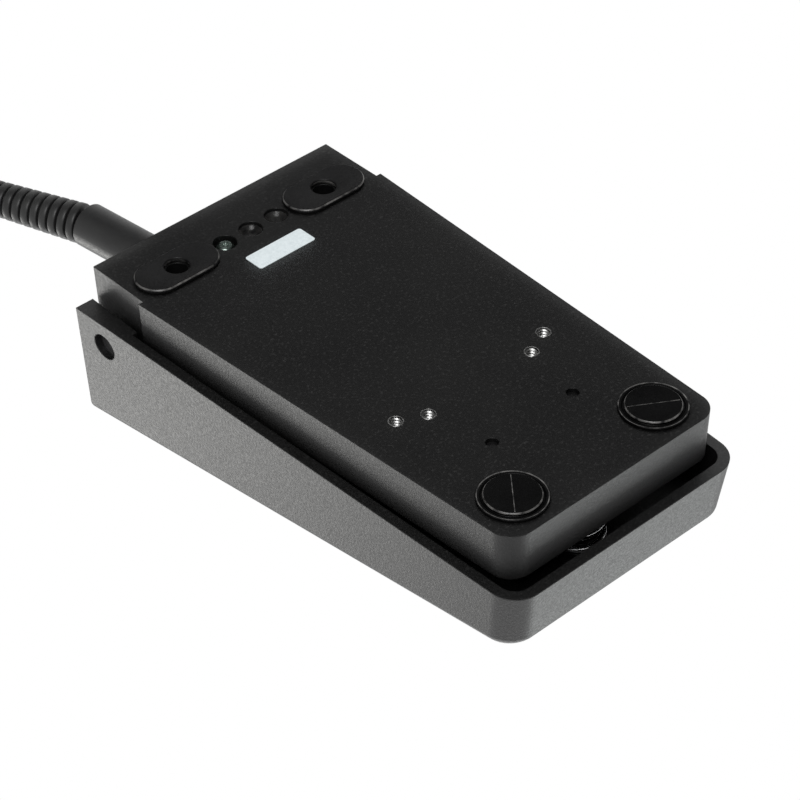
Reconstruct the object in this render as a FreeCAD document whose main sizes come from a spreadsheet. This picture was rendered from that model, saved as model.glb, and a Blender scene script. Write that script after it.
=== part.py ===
import FreeCAD, Part
import Sketcher
import math
import os
import re

# Foot pedal switch: a die-cast base stands on two oval pads and two round feet,
# and a wedge-shaped die-cast pedal is hinged on it by a cross pin at the tall cable end.
# Frame: +Z up, the floor at z = 0, the cable end towards +Y, the origin on the floor
# under the middle of the pedal's length.

doc = FreeCAD.newDocument("foot_pedal_switch")
sheet = doc.addObject("Spreadsheet::Sheet", "Sizes")

# driving dimensions in mm, degrees and counts; text that starts with = is worked out from them
sizes = {
    # pedal casting, measured square to its rim plane
    "pedal_length": 112.3,
    "pedal_rear_width": 66.9,
    "pedal_front_width": "=pedal_rear_width - 10.8",
    "pedal_rear_height": 26.3,
    "pedal_front_height": 12.4,
    "pedal_side_draft": 4.0,
    "pedal_front_draft": 6.5,
    "pedal_corner_radius": 5.5,
    "pedal_wall": 2.2,
    "tread_thickness": 2.4,
    "tread_edge_radius": 2.0,
    "rest_tilt": 1.53,
    "press_angle": 3.0,
    "rear_overhang": 0.5,

    # base casting
    "foot_height": 1.0,
    "base_length": "=pedal_length - 4.3",
    "base_rear_width": "=pedal_rear_width - 6.9",
    "base_front_width": "=pedal_rear_width - 15.9",
    "base_height": 10.0,
    "base_floor": 3.0,
    "base_wall": 2.5,
    "base_draft": 1.5,
    "base_corner_radius": 4.5,
    "tongue_length": 14.8,
    "tongue_width": "=base_rear_width - 2.1",
    "lug_thickness": 3.2,
    "lug_top": 17.4,
    "lug_setback": 0.35,
    "rear_wall": 3.0,
    "lug_root": 1.0,
    "lug_front_inset": 1.6,
    "lug_round": 4.0,
    "hollow_corner_radius": "=base_corner_radius - 1.5",

    # hinge
    "hinge_setback": 6.5,
    "hinge_height": 13.4,
    "pin_above_rim": 5.56,
    "pin_from_pedal_rear": 7.2,
    "pin_diameter": 4.0,
    "pin_end_inset": 2.15,
    "pin_seat_gap": 0.02,
    "pin_running_gap": 0.05,
    "bush_diameter": 5.6,
    "bush_flange_diameter": 7.6,
    "bush_flange": 0.35,
    "hinge_side_gap": 0.5,
    "boss_length": 13.4,
    "boss_thickness": 1.8,
    "boss_height": 17.0,
    "clip_thickness": 0.6,
    "clip_diameter": 6.6,
    "clip_groove_diameter": 3.2,
    "clip_play": 0.04,
    "clip_mouth_width": 2.56,

    # rubber pads and feet
    "pad_length": 18.0,
    "pad_width": 9.4,
    "pad_spacing": "=base_rear_width - 23.6",
    "pad_setback": 11.5,
    "pad_hole": 4.8,
    "pad_thickness": 1.0,
    "pad_edge": 0.25,
    "mount_hole": 4.2,
    "foot_spacing": "=base_front_width - 16.6",
    "foot_setback": "=base_length - 8.2",
    "foot_diameter": 10.4,
    "foot_flange_diameter": 12.8,
    "foot_flange": 0.5,
    "foot_groove_width": 0.4,
    "foot_groove_depth": 0.3,
    "foot_stem_diameter": 5.0,
    "foot_stem_length": 2.6,
    "foot_edge": 0.3,
    "stem_gap": 0.05,

    # holes in the underside
    "clamp_screw_pitch": 6.34,
    "clamp_screw_setback": 11.24,
    "counterbore_diameter": 4.7,
    "counterbore_depth": 1.7,
    "clamp_screw_hole": 3.2,
    "thread_bore": 2.5,
    "thread_depth": 6.0,
    "thread_boss_diameter": 6.4,
    "thread_boss_height": 4.6,
    "outer_thread_spacing": "=base_rear_width - 23.8",
    "outer_thread_setback": "=base_length - 36.4",
    "inner_thread_spacing": "=outer_thread_spacing - 10.9",
    "inner_thread_setback": "=outer_thread_setback + 2.5",
    "stop_spacing": "=outer_thread_spacing - 16.5",
    "stop_setback": "=base_length - 20.8",
    "stop_stem_hole": 2.4,

    # label plate, left bare
    "label_length": 13.6,
    "label_width": 4.7,
    "label_thickness": 0.12,
    "label_setback": 19.85,

    # return spring
    "spring_setback": "=base_length - 9",
    "spring_wire": 1.1,
    "spring_mean_diameter": 9.4,
    "spring_seat_gap": 0.1,
    "spring_seat_height": 22.2,
    "spring_seat_rim": 0.6,
    "spring_post_diameter": 7.6,
    "spring_post_height": 3.0,
    "spring_spigot_length": 2.4,
    "spring_closed_pitch": 1.6,
    "spring_turns": 6.5,

    # travel stops
    "buffer_diameter": 7.0,
    "buffer_height": 4.5,
    "buffer_stem_length": 2.2,
    "stop_gap": 0.3,
    "stop_lug_diameter": 6.0,
    "skirt_gap": 0.35,

    # microswitch
    "switch_setback": 45.0,
    "switch_length": 19.8,
    "switch_width": 6.4,
    "switch_case_height": 7.2,
    "switch_cover_height": 3.0,
    "switch_bottom": 8.2,
    "switch_hole_pitch": 9.5,
    "switch_hole_height": 2.9,
    "switch_hole_diameter": 2.3,
    "terminal_length": 3.6,
    "terminal_thickness": 0.5,
    "terminal_width": 3.2,
    "terminal_pitch": 7.6,
    "plunger_diameter": 2.2,
    "plunger_gap": 0.06,
    "lever_arm": 16.0,
    "lever_plunger_arm": 5.5,
    "lever_width": 4.0,
    "lever_thickness": 0.4,
    "lever_rest_angle": 10.5,
    "lever_axle_diameter": 1.2,
    "lever_axle_height": 0.9,
    "lever_axle_inset": 0.9,
    "lever_ear_height": 2.2,
    "lever_side_gap": 0.1,
    "lever_tip": 1.5,
    "plunger_rest_gap": 0.45,
    "contact_gap": 0.3,
    "case_chamber_diameter": 3.08,
    "case_chamber_depth": 2.4,
    "lever_ear_reach": 0.4,
    "lever_axle_recess": 0.3,
    "plunger_root": 1.0,

    # switch bracket and its fasteners
    "bracket_thickness": 1.2,
    "bracket_foot": 10.5,
    "bracket_length": 18.0,
    "bracket_boss_height": 2.0,
    "bracket_boss_diameter": 6.0,
    "bracket_screw_pitch": 11.0,
    "bracket_screw_diameter": 2.5,
    "screw_seat_gap": 0.03,
    "screw_hole_gap": 0.15,
    "bracket_edge": 3.0,
    "bracket_screw_grip": 3.2,
    "bracket_tap_runout": 1.6,
    "switch_screw_diameter": 2.0,
    "switch_nut_thickness": 1.6,
    "switch_nut_across": 4.0,
    "bolt_past_nut": 0.64,
    "head_ratio": 1.9,
    "screw_head_height": 1.3,

    # actuating screw in the pedal
    "actuator_diameter": 3.0,
    "actuator_boss_diameter": 7.5,
    "actuator_boss_length": 2.0,
    "actuator_tip_diameter": 1.6,
    "actuator_tip_length": 0.7,
    "actuator_seat": 0.5,
    "actuator_bore_runout": 0.7,
    "nut_thickness": 1.6,
    "nut_across_flats": 5.5,

    # cable entry
    "cable_offset": 13.0,
    "cable_height": 9.0,
    "cord_diameter": 4.6,
    "sleeve_diameter": 8.8,
    "sleeve_length": 20.0,
    "sleeve_tilt": 6.3,
    "sleeve_shank_diameter": 7.0,
    "sleeve_collar": 0.8,
    "sleeve_mouth_diameter": 7.0,
    "sleeve_mouth_depth": 3.0,
    "sleeve_root": 4.0,
    "relief_tilt": 21.0,
    "relief_neck_diameter": 5.6,
    "relief_length": 38.5,
    "relief_rib_diameter": 8.0,
    "relief_tip_diameter": 6.4,
    "relief_rib_pitch": 2.1,
    "relief_rib_width": 1.55,
    "relief_neck_length": 4.4,
    "cable_end": 1.5,
    "clamp_screw_diameter": 2.9,
    "clamp_screw_grip": 5.0,
    "clamp_screw_head": 1.4,
    "cross_length": 2.6,
    "cross_width": 0.7,
    "cross_depth": 0.8,
    "clamp_length": 5.0,
    "clamp_height": 8.4,
    "clamp_side": 3.6,
    "clamp_top_width": 12.4,

    # electronics board
    "board_width": 15.0,
    "board_length": 32.0,
    "board_thickness": 1.0,
    "board_height": 6.5,
    "board_side_gap": 5.8,
    "board_side": "=base_rear_width / 2 - board_width - board_side_gap",
    "board_setback": 24.0,
    "board_screw_inset": 2.8,
    "board_post_diameter": 5.0,
    "board_screw_grip": 2.6,
    "board_tap_runout": 1.4,
    "chip_side": 7.0,
    "chip_height": 1.0,
    "chip_inset": 1.4,
    "header_length": 9.0,
    "header_depth": 5.0,
    "header_height": 4.5,
    "wire_diameter": 1.1,
    "wire_pitch": 2.0,
    "wire_bundle_offset": 0.75,
    "wire_straight": 2.3,
    "wire_entry": 0.9,

    # rubber tread mat
    "mat_margin": 5.0,
    "mat_recess": 0.8,
    "mat_thickness": 1.8,
    "mat_corner_radius": 4.0,
    "groove_width": 2.4,
    "groove_depth": 0.8,
    "groove_pitch": 5.0,
    "groove_count": 19,

    # cord that lies on the floor, and its plug
    "lead_run": 12.0,
    "lead_fall": 22.0,
    "coil_across": 4.5,
    "coil_behind": 130.243,
    "coil_outer_radius": 35.4,
    "coil_pitch": 5.2,
    "coil_whole_turns": 9,
    "coil_layer_rise": 5.1,
    "plug_across": 51.5,
    "tail_run": 11.9,
    "tail_end_run": 11.0,
    "tail_turn": 30.0,
    "tail_hump": 0.5,
    "plug_relief_length": 10.0,
    "plug_relief_diameter": 6.0,
    "plug_relief_step": 0.3,
    "plug_length": 32.0,
    "plug_width": 16.0,
    "plug_thickness": 8.0,
    "plug_edge": 2.2,
    "plug_shell_length": 18.8,
    "plug_shell_width": 12.0,
    "plug_shell_thickness": 4.5,
    "plug_shell_wall": 0.35,
    "plug_window": 2.3,
    "plug_window_pitch": 5.2,
    "plug_tongue_thickness": 1.8,
    "plug_tongue_setback": 1.0,

    # how far a cutting or joining shape runs past the face that it meets
    "cut_over": 1.0,

    # worked-out places: rear_face and pin_y put the pedal's length evenly about the origin
    "tread_slope": "=(pedal_rear_height - pedal_front_height) / pedal_length",
    "pin_y": "=((pedal_length - 2 * pin_from_pedal_rear) * cos(rest_tilt)"
        " + (2 * pin_above_rim + tread_edge_radius - pedal_rear_height) * sin(rest_tilt)) / 2",
    "pin_z": "=foot_height + hinge_height",
    "rear_face": "=pin_y + hinge_setback",
    "floor_top": "=foot_height + base_floor",
    "pin_half_length": "=pedal_rear_width / 2 - pin_end_inset",
    "pedal_front": "=pin_from_pedal_rear - pedal_length",
    "ceiling_offset": "=pedal_rear_height - pin_above_rim - tread_thickness"
        " - pin_from_pedal_rear * tread_slope",
    "ceiling_slope": "=(tread_slope * cos(rest_tilt) - sin(rest_tilt))"
        " / (cos(rest_tilt) + tread_slope * sin(rest_tilt))",
    "switch_y": "=rear_face - switch_setback",
    "cover_z": "=switch_bottom + switch_case_height",
    "switch_top": "=cover_z + switch_cover_height",
    "lever_pivot_y": "=switch_y + switch_length / 2 - lever_axle_inset",
    "lever_pivot_z": "=switch_top + lever_axle_height",
    "plunger_y": "=lever_pivot_y - lever_plunger_arm",
    "actuator_y": "=lever_pivot_y - lever_arm",
    "bracket_screw_x": "=-switch_width / 2 - bracket_thickness - bracket_foot / 2",
    "board_top": "=board_height + board_thickness",
}
for row, (alias, value) in enumerate(sizes.items(), 1):
    sheet.set("A%d" % row, alias)
    sheet.set("B%d" % row, str(value))
    sheet.setAlias("B%d" % row, alias)
doc.recompute()

names = re.compile(r"\b(" + "|".join(sorted(sizes, key=len, reverse=True)) + r")\b")


def val(alias):
    return float(sheet.get(alias))


def tie(thing, prop, formula):
    """Bind a property to a formula of the sheet's aliases."""
    thing.setExpression(prop, names.sub(r"Sizes.\1", formula))


def setback(alias):
    """Y of something a given distance in front of the base's rear face."""
    return "(rear_face - " + alias + ")"


def tread_at(y, below="0"):
    """Height of the tread plane, in the pedal's frame, at a pedal-frame y."""
    return "(pedal_rear_height - pin_above_rim - (pin_from_pedal_rear - %s) * tread_slope - %s)" % (
        y, below)


def ceiling_at(y):
    """World height of the underside of the tread above a world y."""
    return ("(pin_z + ceiling_offset * cos(rest_tilt)"
            " + (%s - pin_y - ceiling_offset * sin(rest_tilt)) * ceiling_slope)" % y)


def pedal_world(y, z):
    """World y and z formulas of a point given in the pedal's frame."""
    world_y = "(pin_y + %s * cos(rest_tilt) + %s * sin(rest_tilt))" % (y, z)
    world_z = "(pin_z - %s * sin(rest_tilt) + %s * cos(rest_tilt))" % (y, z)
    return world_y, world_z


# document helpers
def place(thing, x="0", y="0", z="0"):
    for axis, formula in zip("xyz", (x, y, z)):
        tie(thing, "Placement.Base." + axis, formula)
    return thing


def turn(thing, axis, angle):
    for key, amount in zip("xyz", axis):
        thing.setExpression("Placement.Rotation.Axis." + key, str(amount))
    tie(thing, "Placement.Rotation.Angle", angle)
    return thing


def seat_in_pedal(thing, x="0", y="0", z="0"):
    world_y, world_z = pedal_world(y, z)
    place(thing, x, world_y, world_z)
    return turn(thing, (1, 0, 0), "-rest_tilt")


def body(label):
    made = doc.addObject("PartDesign::Body", label)
    made.Label = label
    return made


def origin_part(owner, role):
    return next(part for part in owner.Origin.OriginFeatures if part.Role == role)


def sketch(owner, name, role, height="0"):
    made = owner.newObject("Sketcher::SketchObject", name)
    made.AttachmentSupport = (origin_part(owner, role), [""])
    made.MapMode = "FlatFace"
    tie(made, "AttachmentOffset.Base.z", height)
    return made


def pin_down(drawing, geometry, point, x, y):
    """Fix one sketch point at formulas for its x and y."""
    for kind, formula, axis in (("DistanceX", x, -2), ("DistanceY", y, -1)):
        if formula == "0":
            drawing.addConstraint(Sketcher.Constraint("PointOnObject", geometry, point, axis))
            continue
        index = drawing.addConstraint(Sketcher.Constraint(kind, -1, 1, geometry, point, 1.0))
        tie(drawing, "Constraints[%d]" % index, formula)


def polygon(drawing, corners):
    """A closed outline of straight lines with each corner at two formulas."""
    count = len(corners)
    first = drawing.GeometryCount
    start = [FreeCAD.Vector(9 * math.cos(2 * math.pi * k / count),
                            9 * math.sin(2 * math.pi * k / count), 0) for k in range(count)]
    for k in range(count):
        drawing.addGeometry(Part.LineSegment(start[k], start[(k + 1) % count]))
    for k in range(count):
        drawing.addConstraint(
            Sketcher.Constraint("Coincident", first + k, 2, first + (k + 1) % count, 1))
    for k, (x, y) in enumerate(corners):
        pin_down(drawing, first + k, 1, x, y)
    return drawing


def circle(drawing, x, y, diameter):
    index = drawing.addGeometry(Part.Circle(FreeCAD.Vector(), FreeCAD.Vector(0, 0, 1), 2.0))
    pin_down(drawing, index, 3, x, y)
    width = drawing.addConstraint(Sketcher.Constraint("Diameter", index, 4.0))
    tie(drawing, "Constraints[%d]" % width, diameter)
    return drawing


def stadium(drawing, x, y, length, width):
    """A long hole or pad outline, two lines and two half circles, along X."""
    right = drawing.addGeometry(Part.ArcOfCircle(
        Part.Circle(FreeCAD.Vector(9, 0, 0), FreeCAD.Vector(0, 0, 1), 4), -math.pi / 2, math.pi / 2))
    left = drawing.addGeometry(Part.ArcOfCircle(
        Part.Circle(FreeCAD.Vector(-9, 0, 0), FreeCAD.Vector(0, 0, 1), 4), math.pi / 2, 3 * math.pi / 2))
    top = drawing.addGeometry(Part.LineSegment(FreeCAD.Vector(9, 4, 0), FreeCAD.Vector(-9, 4, 0)))
    low = drawing.addGeometry(Part.LineSegment(FreeCAD.Vector(-9, -4, 0), FreeCAD.Vector(9, -4, 0)))
    for one, end, other, start in ((right, 2, top, 1), (top, 2, left, 1),
                                   (left, 2, low, 1), (low, 2, right, 1)):
        drawing.addConstraint(Sketcher.Constraint("Tangent", one, end, other, start))
    pin_down(drawing, right, 3, "(%s) + (%s - %s) / 2" % (x, length, width), y)
    pin_down(drawing, left, 3, "(%s) - (%s - %s) / 2" % (x, length, width), y)
    drawing.addConstraint(Sketcher.Constraint("Equal", right, left))
    radius = drawing.addConstraint(Sketcher.Constraint("Radius", right, 4.0))
    tie(drawing, "Constraints[%d]" % radius, "%s / 2" % width)
    return drawing


def pad(owner, name, profile, length, midplane=False):
    made = owner.newObject("PartDesign::Pad", name)
    made.Profile = profile
    made.Midplane = midplane
    tie(made, "Length", length)
    return made


def pocket(owner, name, profile, length, reverse=False, midplane=False):
    made = owner.newObject("PartDesign::Pocket", name)
    made.Profile = profile
    made.Reversed = reverse
    made.Midplane = midplane
    tie(made, "Length", length)
    return made


def level_plane(owner, name, height):
    made = owner.newObject("PartDesign::Plane", name)
    made.AttachmentSupport = (origin_part(owner, "XY_Plane"), [""])
    made.MapMode = "FlatFace"
    tie(made, "AttachmentOffset.Base.z", height)
    return made


def draft(owner, name, base, test, neutral, angle):
    """Lean the faces whose normal passes a test, about a neutral plane."""
    doc.recompute()
    faces = ["Face%d" % (index + 1) for index, face in enumerate(base.Shape.Faces)
             if test(face.normalAt(0, 0))]
    made = owner.newObject("PartDesign::Draft", name)
    made.Base = (base, faces)
    made.NeutralPlane = (neutral, [""])
    tie(made, "Angle", angle)
    return made


def edges_where(feature, test):
    """Names of the edges whose middle point and direction pass a test."""
    doc.recompute()
    found = []
    for index, edge in enumerate(feature.Shape.Edges):
        middle = edge.valueAt((edge.FirstParameter + edge.LastParameter) / 2)
        direction = edge.tangentAt((edge.FirstParameter + edge.LastParameter) / 2)
        if test(middle, direction):
            found.append("Edge%d" % (index + 1))
    return found


def fillet(owner, name, base, edges, radius):
    made = owner.newObject("PartDesign::Fillet", name)
    made.Base = (base, edges)
    tie(made, "Radius", radius)
    return made


def cylinder(name, diameter, height, x="0", y="0", z="0"):
    made = doc.addObject("Part::Cylinder", name)
    tie(made, "Radius", "(%s) / 2" % diameter)
    tie(made, "Height", height)
    return place(made, x, y, z)


def block(name, length, width, height, x="0", y="0", z="0"):
    """A box with its lowest corner at x, y, z."""
    made = doc.addObject("Part::Box", name)
    tie(made, "Length", length)
    tie(made, "Width", width)
    tie(made, "Height", height)
    return place(made, x, y, z)


def fuse(label, pieces):
    made = doc.addObject("Part::MultiFuse", label)
    made.Shapes = pieces
    made.Refine = True
    return made


def cut(label, base, tool):
    made = doc.addObject("Part::Cut", label)
    made.Base = base
    made.Tool = tool
    made.Refine = True
    return made


def lengthways(thing):
    """Turn a cylinder so that it runs along +X."""
    return turn(thing, (0, 1, 0), "90")


def aim(thing, tilt):
    """Turn a cylinder level, leaning a tilt from +Y towards +X."""
    tie(thing, "Placement.Rotation.Axis.x", "-cos(%s)" % tilt)
    tie(thing, "Placement.Rotation.Axis.y", "sin(%s)" % tilt)
    thing.setExpression("Placement.Rotation.Axis.z", "0")
    thing.setExpression("Placement.Rotation.Angle", "90")
    return thing


sides = (("left", "-"), ("right", "+"))
ends = (("a", "-"), ("b", "+"))
clamp_hole_places = ("-clamp_screw_pitch", "0", "clamp_screw_pitch")


def base_outline(inset_side, inset_tongue, inset_rear, inset_front):
    """Eight corners of the base's plan, stepped in at the tongue."""
    rear = "rear_face - %s" % inset_rear
    step = setback("tongue_length")
    if inset_rear != "0":
        step = "%s - %s" % (step, inset_side)
    front = "%s + %s" % (setback("base_length"), inset_front)
    tongue = "(tongue_width / 2 - %s)" % inset_tongue
    wide = "(base_rear_width / 2 - %s)" % inset_side
    slim = "(base_front_width / 2 - %s)" % inset_side
    half = [(tongue, rear), (tongue, step), (wide, step), (slim, front)]
    return [("-" + x, y) for x, y in half] + half[::-1]


def make_base():
    base = body("base_housing")
    plan = polygon(sketch(base, "base_plan", "XY_Plane", "foot_height"),
                   base_outline("0", "0", "0", "0"))
    upright = pad(base, "base_slab", plan, "base_height")
    foot_plane = level_plane(base, "foot_plane", "foot_height")
    slab = draft(base, "base_lean", upright, lambda normal: abs(normal.z) < 0.1, foot_plane, "base_draft")

    def front_corner(middle, direction):
        return abs(direction.z) > 0.9 and middle.y < val("rear_face") - val("base_length") / 2

    rounded = fillet(base, "base_corners", slab, edges_where(slab, front_corner), "base_corner_radius")

    lug_rear = setback("lug_setback")
    lug_front = setback("(tongue_length - lug_front_inset)")
    lug_low = "foot_height + base_height - lug_root"
    lug_high = "foot_height + lug_top"
    profile = polygon(sketch(base, "lug_side", "YZ_Plane"),
                      [(lug_rear, lug_low), (lug_rear, lug_high), (lug_front, lug_high),
                       (lug_front, lug_low)])
    lugs = pad(base, "hinge_lugs", profile, "tongue_width - 2 * lug_setback", midplane=True)

    def lug_front_edge(middle, direction):
        return (abs(direction.x) > 0.9 and middle.z > val("lug_top")
                and middle.y < val("pin_y"))

    lugs = fillet(base, "lug_front_round", lugs, edges_where(lugs, lug_front_edge), "lug_round")

    hollow = polygon(sketch(base, "hollow_plan", "XY_Plane", "floor_top"),
                     base_outline("base_wall", "lug_thickness", "rear_wall", "base_wall"))
    cavity = pocket(base, "hollow", hollow, "lug_top", reverse=True)

    corner_x = val("base_front_width") / 2 - val("base_wall")
    corner_y = val("rear_face") - val("base_length") + val("base_wall")

    def hollow_corner(middle, direction):
        return (abs(direction.z) > 0.9 and middle.z > val("floor_top")
                and abs(abs(middle.x) - corner_x) < 0.5 and abs(middle.y - corner_y) < 0.5)

    fillet(base, "hollow_corners", cavity, edges_where(cavity, hollow_corner), "hollow_corner_radius")

    bore = circle(sketch(base, "pin_bore_side", "YZ_Plane"), "pin_y", "pin_z",
                  "pin_diameter + 2 * pin_seat_gap")
    pocket(base, "pin_bores", bore, "2 * tongue_width", midplane=True)

    entry = circle(sketch(base, "cable_hole_end", "XZ_Plane", "-(rear_face + cut_over)"),
                   "cable_offset", "cable_height", "sleeve_shank_diameter + 2 * stem_gap")
    pocket(base, "cable_hole", entry, "rear_wall + 2 * cut_over", reverse=True)

    posts = sketch(base, "thread_bosses_plan", "XY_Plane", "floor_top")
    for side, sign in sides:
        circle(posts, sign + "outer_thread_spacing / 2", setback("outer_thread_setback"),
               "thread_boss_diameter")
    pad(base, "outer_thread_bosses", posts, "thread_boss_height")
    posts = sketch(base, "inner_bosses_plan", "XY_Plane", "floor_top")
    for side, sign in sides:
        circle(posts, sign + "inner_thread_spacing / 2", setback("inner_thread_setback"),
               "thread_boss_diameter")
    pad(base, "inner_thread_bosses", posts, "thread_boss_height")

    seat = circle(sketch(base, "spring_post_plan", "XY_Plane", "floor_top"), "0",
                  setback("spring_setback"), "spring_post_diameter")
    pad(base, "spring_post", seat, "spring_post_height")

    mounts = sketch(base, "bracket_bosses_plan", "XY_Plane", "floor_top")
    for sign in "-+":
        circle(mounts, "bracket_screw_x", "switch_y " + sign + " bracket_screw_pitch / 2",
               "bracket_boss_diameter")
    pad(base, "bracket_bosses", mounts, "bracket_boss_height")
    mounts = sketch(base, "board_posts_plan", "XY_Plane", "floor_top")
    for x, y in board_screw_places():
        circle(mounts, x, y, "board_post_diameter")
    pad(base, "board_posts", mounts, "board_height - floor_top")

    drilled = sketch(base, "thread_holes_plan", "XY_Plane", "foot_height")
    for side, sign in sides:
        circle(drilled, sign + "outer_thread_spacing / 2", setback("outer_thread_setback"), "thread_bore")
        circle(drilled, sign + "inner_thread_spacing / 2", setback("inner_thread_setback"), "thread_bore")
    pocket(base, "thread_holes", drilled, "thread_depth", reverse=True)

    drilled = sketch(base, "through_holes_plan", "XY_Plane", "foot_height")
    for x in clamp_hole_places:
        circle(drilled, x, setback("clamp_screw_setback"), "clamp_screw_hole")
    for side, sign in sides:
        circle(drilled, sign + "pad_spacing / 2", setback("pad_setback"), "mount_hole")
        circle(drilled, sign + "foot_spacing / 2", setback("foot_setback"),
               "foot_stem_diameter + 2 * stem_gap")
        circle(drilled, sign + "stop_spacing / 2", setback("stop_setback"), "stop_stem_hole")
    pocket(base, "through_holes", drilled, "base_floor + cut_over", reverse=True)
    heads = sketch(base, "counterbores_plan", "XY_Plane", "foot_height")
    for x in clamp_hole_places:
        circle(heads, x, setback("clamp_screw_setback"), "counterbore_diameter")
    pocket(base, "counterbores", heads, "counterbore_depth", reverse=True)

    tapped = sketch(base, "bracket_holes_plan", "XY_Plane", "floor_top + bracket_boss_height")
    for sign in "-+":
        circle(tapped, "bracket_screw_x", "switch_y " + sign + " bracket_screw_pitch / 2",
               "bracket_screw_diameter + 2 * screw_seat_gap")
    pocket(base, "bracket_holes", tapped, "bracket_boss_height + bracket_tap_runout")
    tapped = sketch(base, "board_holes_plan", "XY_Plane", "board_height")
    for x, y in board_screw_places():
        circle(tapped, x, y, "switch_screw_diameter + 2 * screw_seat_gap")
    pocket(base, "board_holes", tapped, "board_height - floor_top + board_tap_runout")
    return base


def board_screw_places():
    """Two opposite corners of the electronics board."""
    near = "board_side + board_screw_inset"
    far = "board_side + board_width - board_screw_inset"
    return [(near, setback("(board_setback + board_length - board_screw_inset)")),
            (far, setback("(board_setback + board_screw_inset)"))]


def pedal_blank(label, inset):
    """Drafted block over the pedal's plan: upright rear face, leaning sides and front."""
    owner = body(label)
    taper = "(pedal_rear_width - pedal_front_width) / 2 / pedal_length"
    half = "(pedal_rear_width / 2 - %s - %s * (pin_from_pedal_rear - %s))"
    rear = "(pin_from_pedal_rear - %s)" % inset
    front = "(pedal_front + %s)" % inset
    rear_half = half % (inset, taper, rear)
    front_half = half % (inset, taper, front)
    plan = polygon(sketch(owner, label + "_plan", "XY_Plane", "-pin_above_rim"),
                   [("-" + rear_half, rear), ("-" + front_half, front),
                    (front_half, front), (rear_half, rear)])
    upright = pad(owner, label + "_pad", plan, "pedal_rear_height + tread_thickness")
    rim_plane = level_plane(owner, label + "_rim", "-pin_above_rim")
    sides_leant = draft(owner, label + "_sides", upright, lambda normal: abs(normal.x) > 0.9,
                        rim_plane, "pedal_side_draft")
    return owner, draft(owner, label + "_front", sides_leant, lambda normal: normal.y < -0.9,
                        rim_plane, "pedal_front_draft")


def slice_top(owner, name, below):
    rear = "(pin_from_pedal_rear + pedal_wall + cut_over)"
    front = "(pedal_front - pedal_wall - cut_over)"
    roof = "2 * pedal_rear_height"
    profile = polygon(sketch(owner, name + "_side", "YZ_Plane"),
                      [(rear, tread_at(rear, below)), (front, tread_at(front, below)),
                       (front, roof), (rear, roof)])
    return pocket(owner, name, profile, "2 * pedal_rear_width", midplane=True)


def pedal_outer():
    owner, blank = pedal_blank("pedal_block", "0")

    def front_corner(middle, direction):
        return abs(direction.z) > 0.9 and middle.y < 0

    fillet(owner, "pedal_corners", blank, edges_where(blank, front_corner), "pedal_corner_radius")
    sliced = slice_top(owner, "tread_slice", "0")
    doc.recompute()
    tread = max(range(len(sliced.Shape.Faces)), key=lambda k: sliced.Shape.Faces[k].CenterOfMass.z)
    fillet(owner, "tread_edges", sliced, ["Face%d" % (tread + 1)], "tread_edge_radius")
    return seat_in_pedal(owner)


def pedal_hollow():
    owner, blank = pedal_blank("pedal_space", "pedal_wall")

    def front_corner(middle, direction):
        return abs(direction.z) > 0.9 and middle.y < -val("pedal_length") / 2

    fillet(owner, "space_corners", blank, edges_where(blank, front_corner),
           "pedal_corner_radius - pedal_wall")
    slice_top(owner, "ceiling_slice", "tread_thickness")
    return seat_in_pedal(owner)


def hinge_boss(side, sign):
    """Thickening of the side wall that carries the bush."""
    inner = "(tongue_width / 2 + hinge_side_gap)"
    start = inner if sign == "+" else "-%s - boss_thickness" % inner
    boss = block("hinge_boss_" + side, "boss_thickness", "boss_length", "boss_height")
    return seat_in_pedal(boss, start, "(pin_from_pedal_rear - boss_length)", "-pin_above_rim")


def column(name, diameter, x, y, low):
    """A round boss from a world height up into the tread's thickness."""
    return cylinder(name, diameter, "%s - (%s) + tread_thickness / 3" % (ceiling_at(y), low), x, y, low)


def make_pedal():
    outer = pedal_outer()
    space = pedal_hollow()
    columns = []
    stop_y = setback("stop_setback")
    spring_y = setback("spring_setback")
    drop = "((stop_setback - hinge_setback) * sin(press_angle))"
    for side, sign in sides:
        columns.append(column("stop_lug_" + side, "stop_lug_diameter", sign + "stop_spacing / 2", stop_y,
                              "floor_top + buffer_height + stop_gap + " + drop))
        columns.append(hinge_boss(side, sign))
    columns.append(column("spring_seat", "spring_mean_diameter + spring_wire + 2 * spring_seat_rim",
                          "0", spring_y, "spring_seat_height"))
    columns.append(cylinder("spring_spigot", "spring_post_diameter", "spring_spigot_length + cut_over", "0",
                            spring_y, "spring_seat_height - spring_spigot_length"))
    columns.append(column("actuator_boss", "actuator_boss_diameter", "0", "actuator_y",
                          ceiling_at("actuator_y") + " - actuator_boss_length"))
    shell = fuse("pedal_with_bosses", [cut("pedal_shell_blank", outer, space)] + columns)
    return cut("pedal_shell", shell, fuse("pedal_cuts", pedal_cuts()))


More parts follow.
